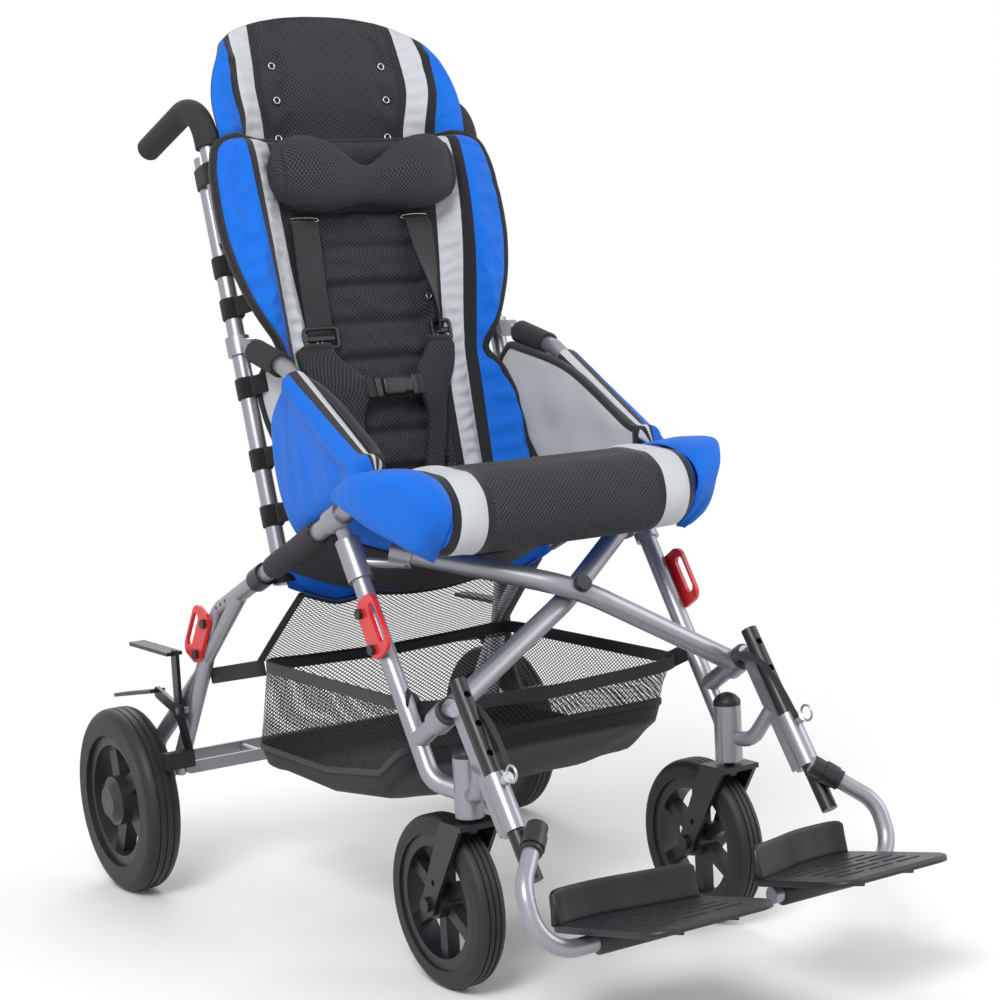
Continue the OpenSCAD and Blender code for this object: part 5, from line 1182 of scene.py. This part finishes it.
def basket_floor(seam):
    """Rings from the seam inwards to the middle of the bottom, which hangs a little lower and is rumpled."""
    k = np.linspace(0, 1, 26)[:, None]
    inward = 0.035 * ease(k, 0.0, 0.28) + 0.965 * np.clip((k - 0.22) / 0.78, 0, 1)
    middle = np.array([0.0, 0.09])
    flat = middle + (seam[None, :, :2] - middle) * (1 - inward[..., None])
    low = basket_edge_z(flat[..., 1]) - 0.008 * ease(k, 0.2, 0.9)
    height = seam[None, :, 2] + (low - seam[None, :, 2]) * ease(k, -0.05, 0.27)
    rumple = 0.005 * ripple(flat[..., 0], flat[..., 1], 52, 0.05, 0.15) * np.sin(np.pi * np.sqrt(k))
    return np.concatenate([flat, np.maximum(height + rumple, 0.1700)[..., None]], -1)


def basket_rear():
    """Net carried from the rear rim up to the seat's rear flap, straight lines with a little slack."""
    u = np.linspace(-1, 1, 49)[None, :]
    v = np.linspace(0, 1, 18)[:, None]
    x = u * (0.188 - 0.010 * v)
    base_z = 0.321 - 0.008 * (1 - u**2)
    hem_z = sling_z(x, HEM_Y) - 0.003 - 0.020 * ease(np.abs(x), 0.07, 0.14)
    y = RIM_REAR - 0.1105 * v - 0.008 * np.sin(np.pi * v) * (1 - u**4)
    return np.stack([x, y, base_z + (hem_z - base_z) * v], -1)


def basket():
    """Basket: net wall, sagging cloth bottom and raised net behind, with tapes along their edges and a
    webbing hanger at each corner."""
    wall, panel = basket_wall(), basket_rear()
    floor = basket_floor(wall[-1])
    net, cloth, tape = Cut(), Cut(), Cut()
    net.grid(wall, 0, wrap=True)
    cloth.grid(floor[:-1], 0, wrap=True)
    cloth.lid(floor[-2])
    for path, half, thick in ((wall[0], 0.0080, 0.0012), (wall[-1], 0.004, 0.0015)):
        tape.sweep(path + [0, 0, -half], round_profile(thick, half, 12, 4.0), (0, 0, 1), 0, True)
    net.grid(panel, 0)
    for path in (panel[:, 0], panel[:, -1]):
        tape.sweep(path, round_profile(0.0060, 0.0012, 12, 4.0), (0, 1, 1))
    tape.sweep(panel[-1], round_profile(0.0012, 0.0040, 12, 4.0), (0, 0, 1))
    hangers = np.array([[[0.180, -0.120, 0.316], [0.212, -0.150, 0.336]],
                        [[0.188, 0.252, 0.314], [0.217, 0.352, 0.294]]])
    for s in (-1.0, 1.0):
        for start, end in hangers * [s, 1, 1]:
            path = np.linspace(start, end, 8)
            tape.sweep(path, round_profile(0.0014, 0.0105, 12, 4.0), (0, 0, 1))
    for n, cut, finish, nodes, slot in (("basket_net_walls", net, basket_net, ["basket"], "black_mesh"),
                                        ("basket_bottom", cloth, basket_cloth, [], "black_webbing"),
                                        ("basket_tape", tape, binding_tape, [], "black_webbing")):
        piece = cut.make(n, [finish])
        fit(piece, "left_frame", nodes, RAIL_FOLD)


basket()


# Bands on the canes

def cane_bands(side, s):
    """Hook-and-loop bands: a wound sleeve round the cane, lapped over, with a tongue to the back pad."""
    band_r, lap_r = 0.0125, 0.0148
    cane_run = np.array([0, 0.155, 0.536])
    cut = Cut()
    t = np.linspace(0, 2 * np.pi, 40, endpoint=False)[:, None]
    foot = np.array([s * CANE_X, CANE_FOOT_Y, CANE_FOOT_Z])
    for share in (0.157, 0.287, 0.453, 0.64, 0.739, 0.95):
        mid = foot + share * cane_run
        upper = share > 0.9
        fore = np.sin(t) * band_r + np.where(np.sin(t) > 0, 0.0221 if upper else 0.0, 0)
        loop = mid + np.cos(t) * band_r * np.array([1.0, 0, 0]) + fore * AHEAD
        cut.sweep(loop, round_profile(0.0012, 0.0135, 12, 5.0), UP_BACK, 0, True)
        if not upper:
            turn = t[:16] + 1.9
            lap = mid + UP_BACK * 0.0015 + (
                np.cos(turn) * np.array([lap_r * s, 0, 0]) + np.sin(turn) * AHEAD * lap_r)
            k = np.linspace(0, 1, 9)[:, None]
            tongue = mid + k * np.array([-s * 0.012, 0, 0]) - np.array([s * 0.001, 0, 0])
            for path in (lap, tongue + AHEAD * (0.0128 + 0.0205 * k)):
                cut.sweep(path, round_profile(0.0011, 0.0125, 12, 5.0), UP_BACK, 0)
    piece = cut.make(side + "_hook_bands", [hook_tape])
    fit(piece, side + "_frame", [side + "_cane_bands"], None)


for side, s in SIDES:
    cane_bands(side, s)


# Footplates

def footplate(side, s):
    """Footplate: a rounded slab with rows of slots, thin near-black strips of painted shade on its top, a
    wall carried along an S-shaped line behind the heel, and its tube sleeve and ribs."""
    mid_x, half_x, corner_r, toe_y = 0.1215, 0.0815, 0.026, -0.145
    top_z, low_z, wall_z, wall_gap = 0.0213, 0.0138, 0.020, 0.003
    tube_y, tube_z, toe_up = -0.446, 0.115, np.radians(11.0)
    slot_step = 0.022
    c, d = np.cos(toe_up), np.sin(toe_up)

    def placed(x, y, z):
        """From the plate's own axes to the buggy's: tilted toe up about the sleeve."""
        x, y, z = np.broadcast_arrays(x, y, z)
        return np.stack([s * x, tube_y + y * c + z * d, tube_z - y * d + z * c], -1)

    def heel(x):
        """The S-shaped line of the heel wall."""
        return through(x, [0.040, 0.055, 0.075, 0.10, 0.125, 0.145, 0.17, 0.19, 0.203],
                       [-0.006, 0.000, 0.008, 0.019, 0.031, 0.037, 0.038, 0.036, 0.030])

    up = placed(0.0, 0.0, 1.0) - placed(0.0, 0.0, 0.0)
    # Slab: rows from the heel wall to the toe, whose corners are rounded
    e = np.linspace(-1, 1, 41)
    x = (mid_x + half_x * np.sin(e * np.pi / 2))[None, :]
    inset = np.clip(corner_r - (half_x - np.abs(x - mid_x)), 0, None)
    corner = corner_r - np.sqrt(np.clip(corner_r**2 - inset**2, 0, None))
    v = np.linspace(0, 1, 37)[:, None]
    y = heel(x) + wall_gap + (toe_y + corner - heel(x) - wall_gap) * v
    cut = Cut()
    lip = 0.0012 * (1 - np.clip(bulge(v, 20) * bulge((x - 0.04) / 0.163, 20), 0, 1))
    cut.slab(placed(x, y, top_z - lip), placed(x, y, low_z + lip), 0, 0, 0)
    # Heel wall: a squared-off section, thicker at its foot
    xs = np.linspace(0.0415, 0.2015, 60)
    tall = 0.019 * np.clip(bulge((xs - 0.0405) / 0.162, 14), 0.62, 1)
    base = placed(xs, heel(xs), wall_z)
    top = placed(xs, heel(xs), wall_z + 2 * tall)
    side_dir = unit(np.cross(np.gradient(base, axis=0), up))
    a = np.linspace(0, 2 * np.pi, 24, endpoint=False)[None, :, None]
    lift = (1 + blunt(np.sin(a), 0.35)) / 2
    thick = 0.0035 + 0.0035 * (1 - lift) ** 3
    across = side_dir[:, None] * blunt(np.cos(a), 0.35) * thick
    loop = base[:, None] + (top - base)[:, None] * lift + across
    cut.grid(loop, 0, wrap=True)
    cut.lid(loop[0], 0)
    cut.lid(loop[-1, ::-1], 0)
    # Slots as near-black strips of painted shade on the top, the sleeve round the tube and two ribs
    # underneath
    for j in range(5):
        for x0, x1 in ((0.066, 0.100), (0.110, 0.140), (0.150, 0.180)):
            px = np.linspace(x0, x1, 8)
            line = placed(px, -slot_step - slot_step * j, 0.0214)
            cut.sweep(line, round_profile(0.0026, 0.0005, 10, 3.0), up, 1)
    r = np.array([1e-5, 0.0095, 0.0105, 0.0135, 0.0135, 0.0105, 0.0095, 1e-5])
    along = np.array([0, 0, 0, 0.0015, 0.1025, 0.104, 0.104, 0.104])
    cut.lathe(placed(0.072, 0.0, 0.0), (s, 0, 0), np.stack([r, along], -1), 0, 40)
    for x0 in (0.085, 0.155):
        rib = placed(x0, np.linspace(0.012, -0.125, 6), np.linspace(0.0085, 0.0125, 6))
        cut.sweep(rib, round_profile(0.0018, 0.0042, 10, 4.0), up, 0)
    piece = cut.make(side + "_foot_tread", [moulded_black, painted_gap_shade])
    fit(piece, side + "_footplate", [side + "_footplate"], None)


for side, s in SIDES:
    footplate(side, s)
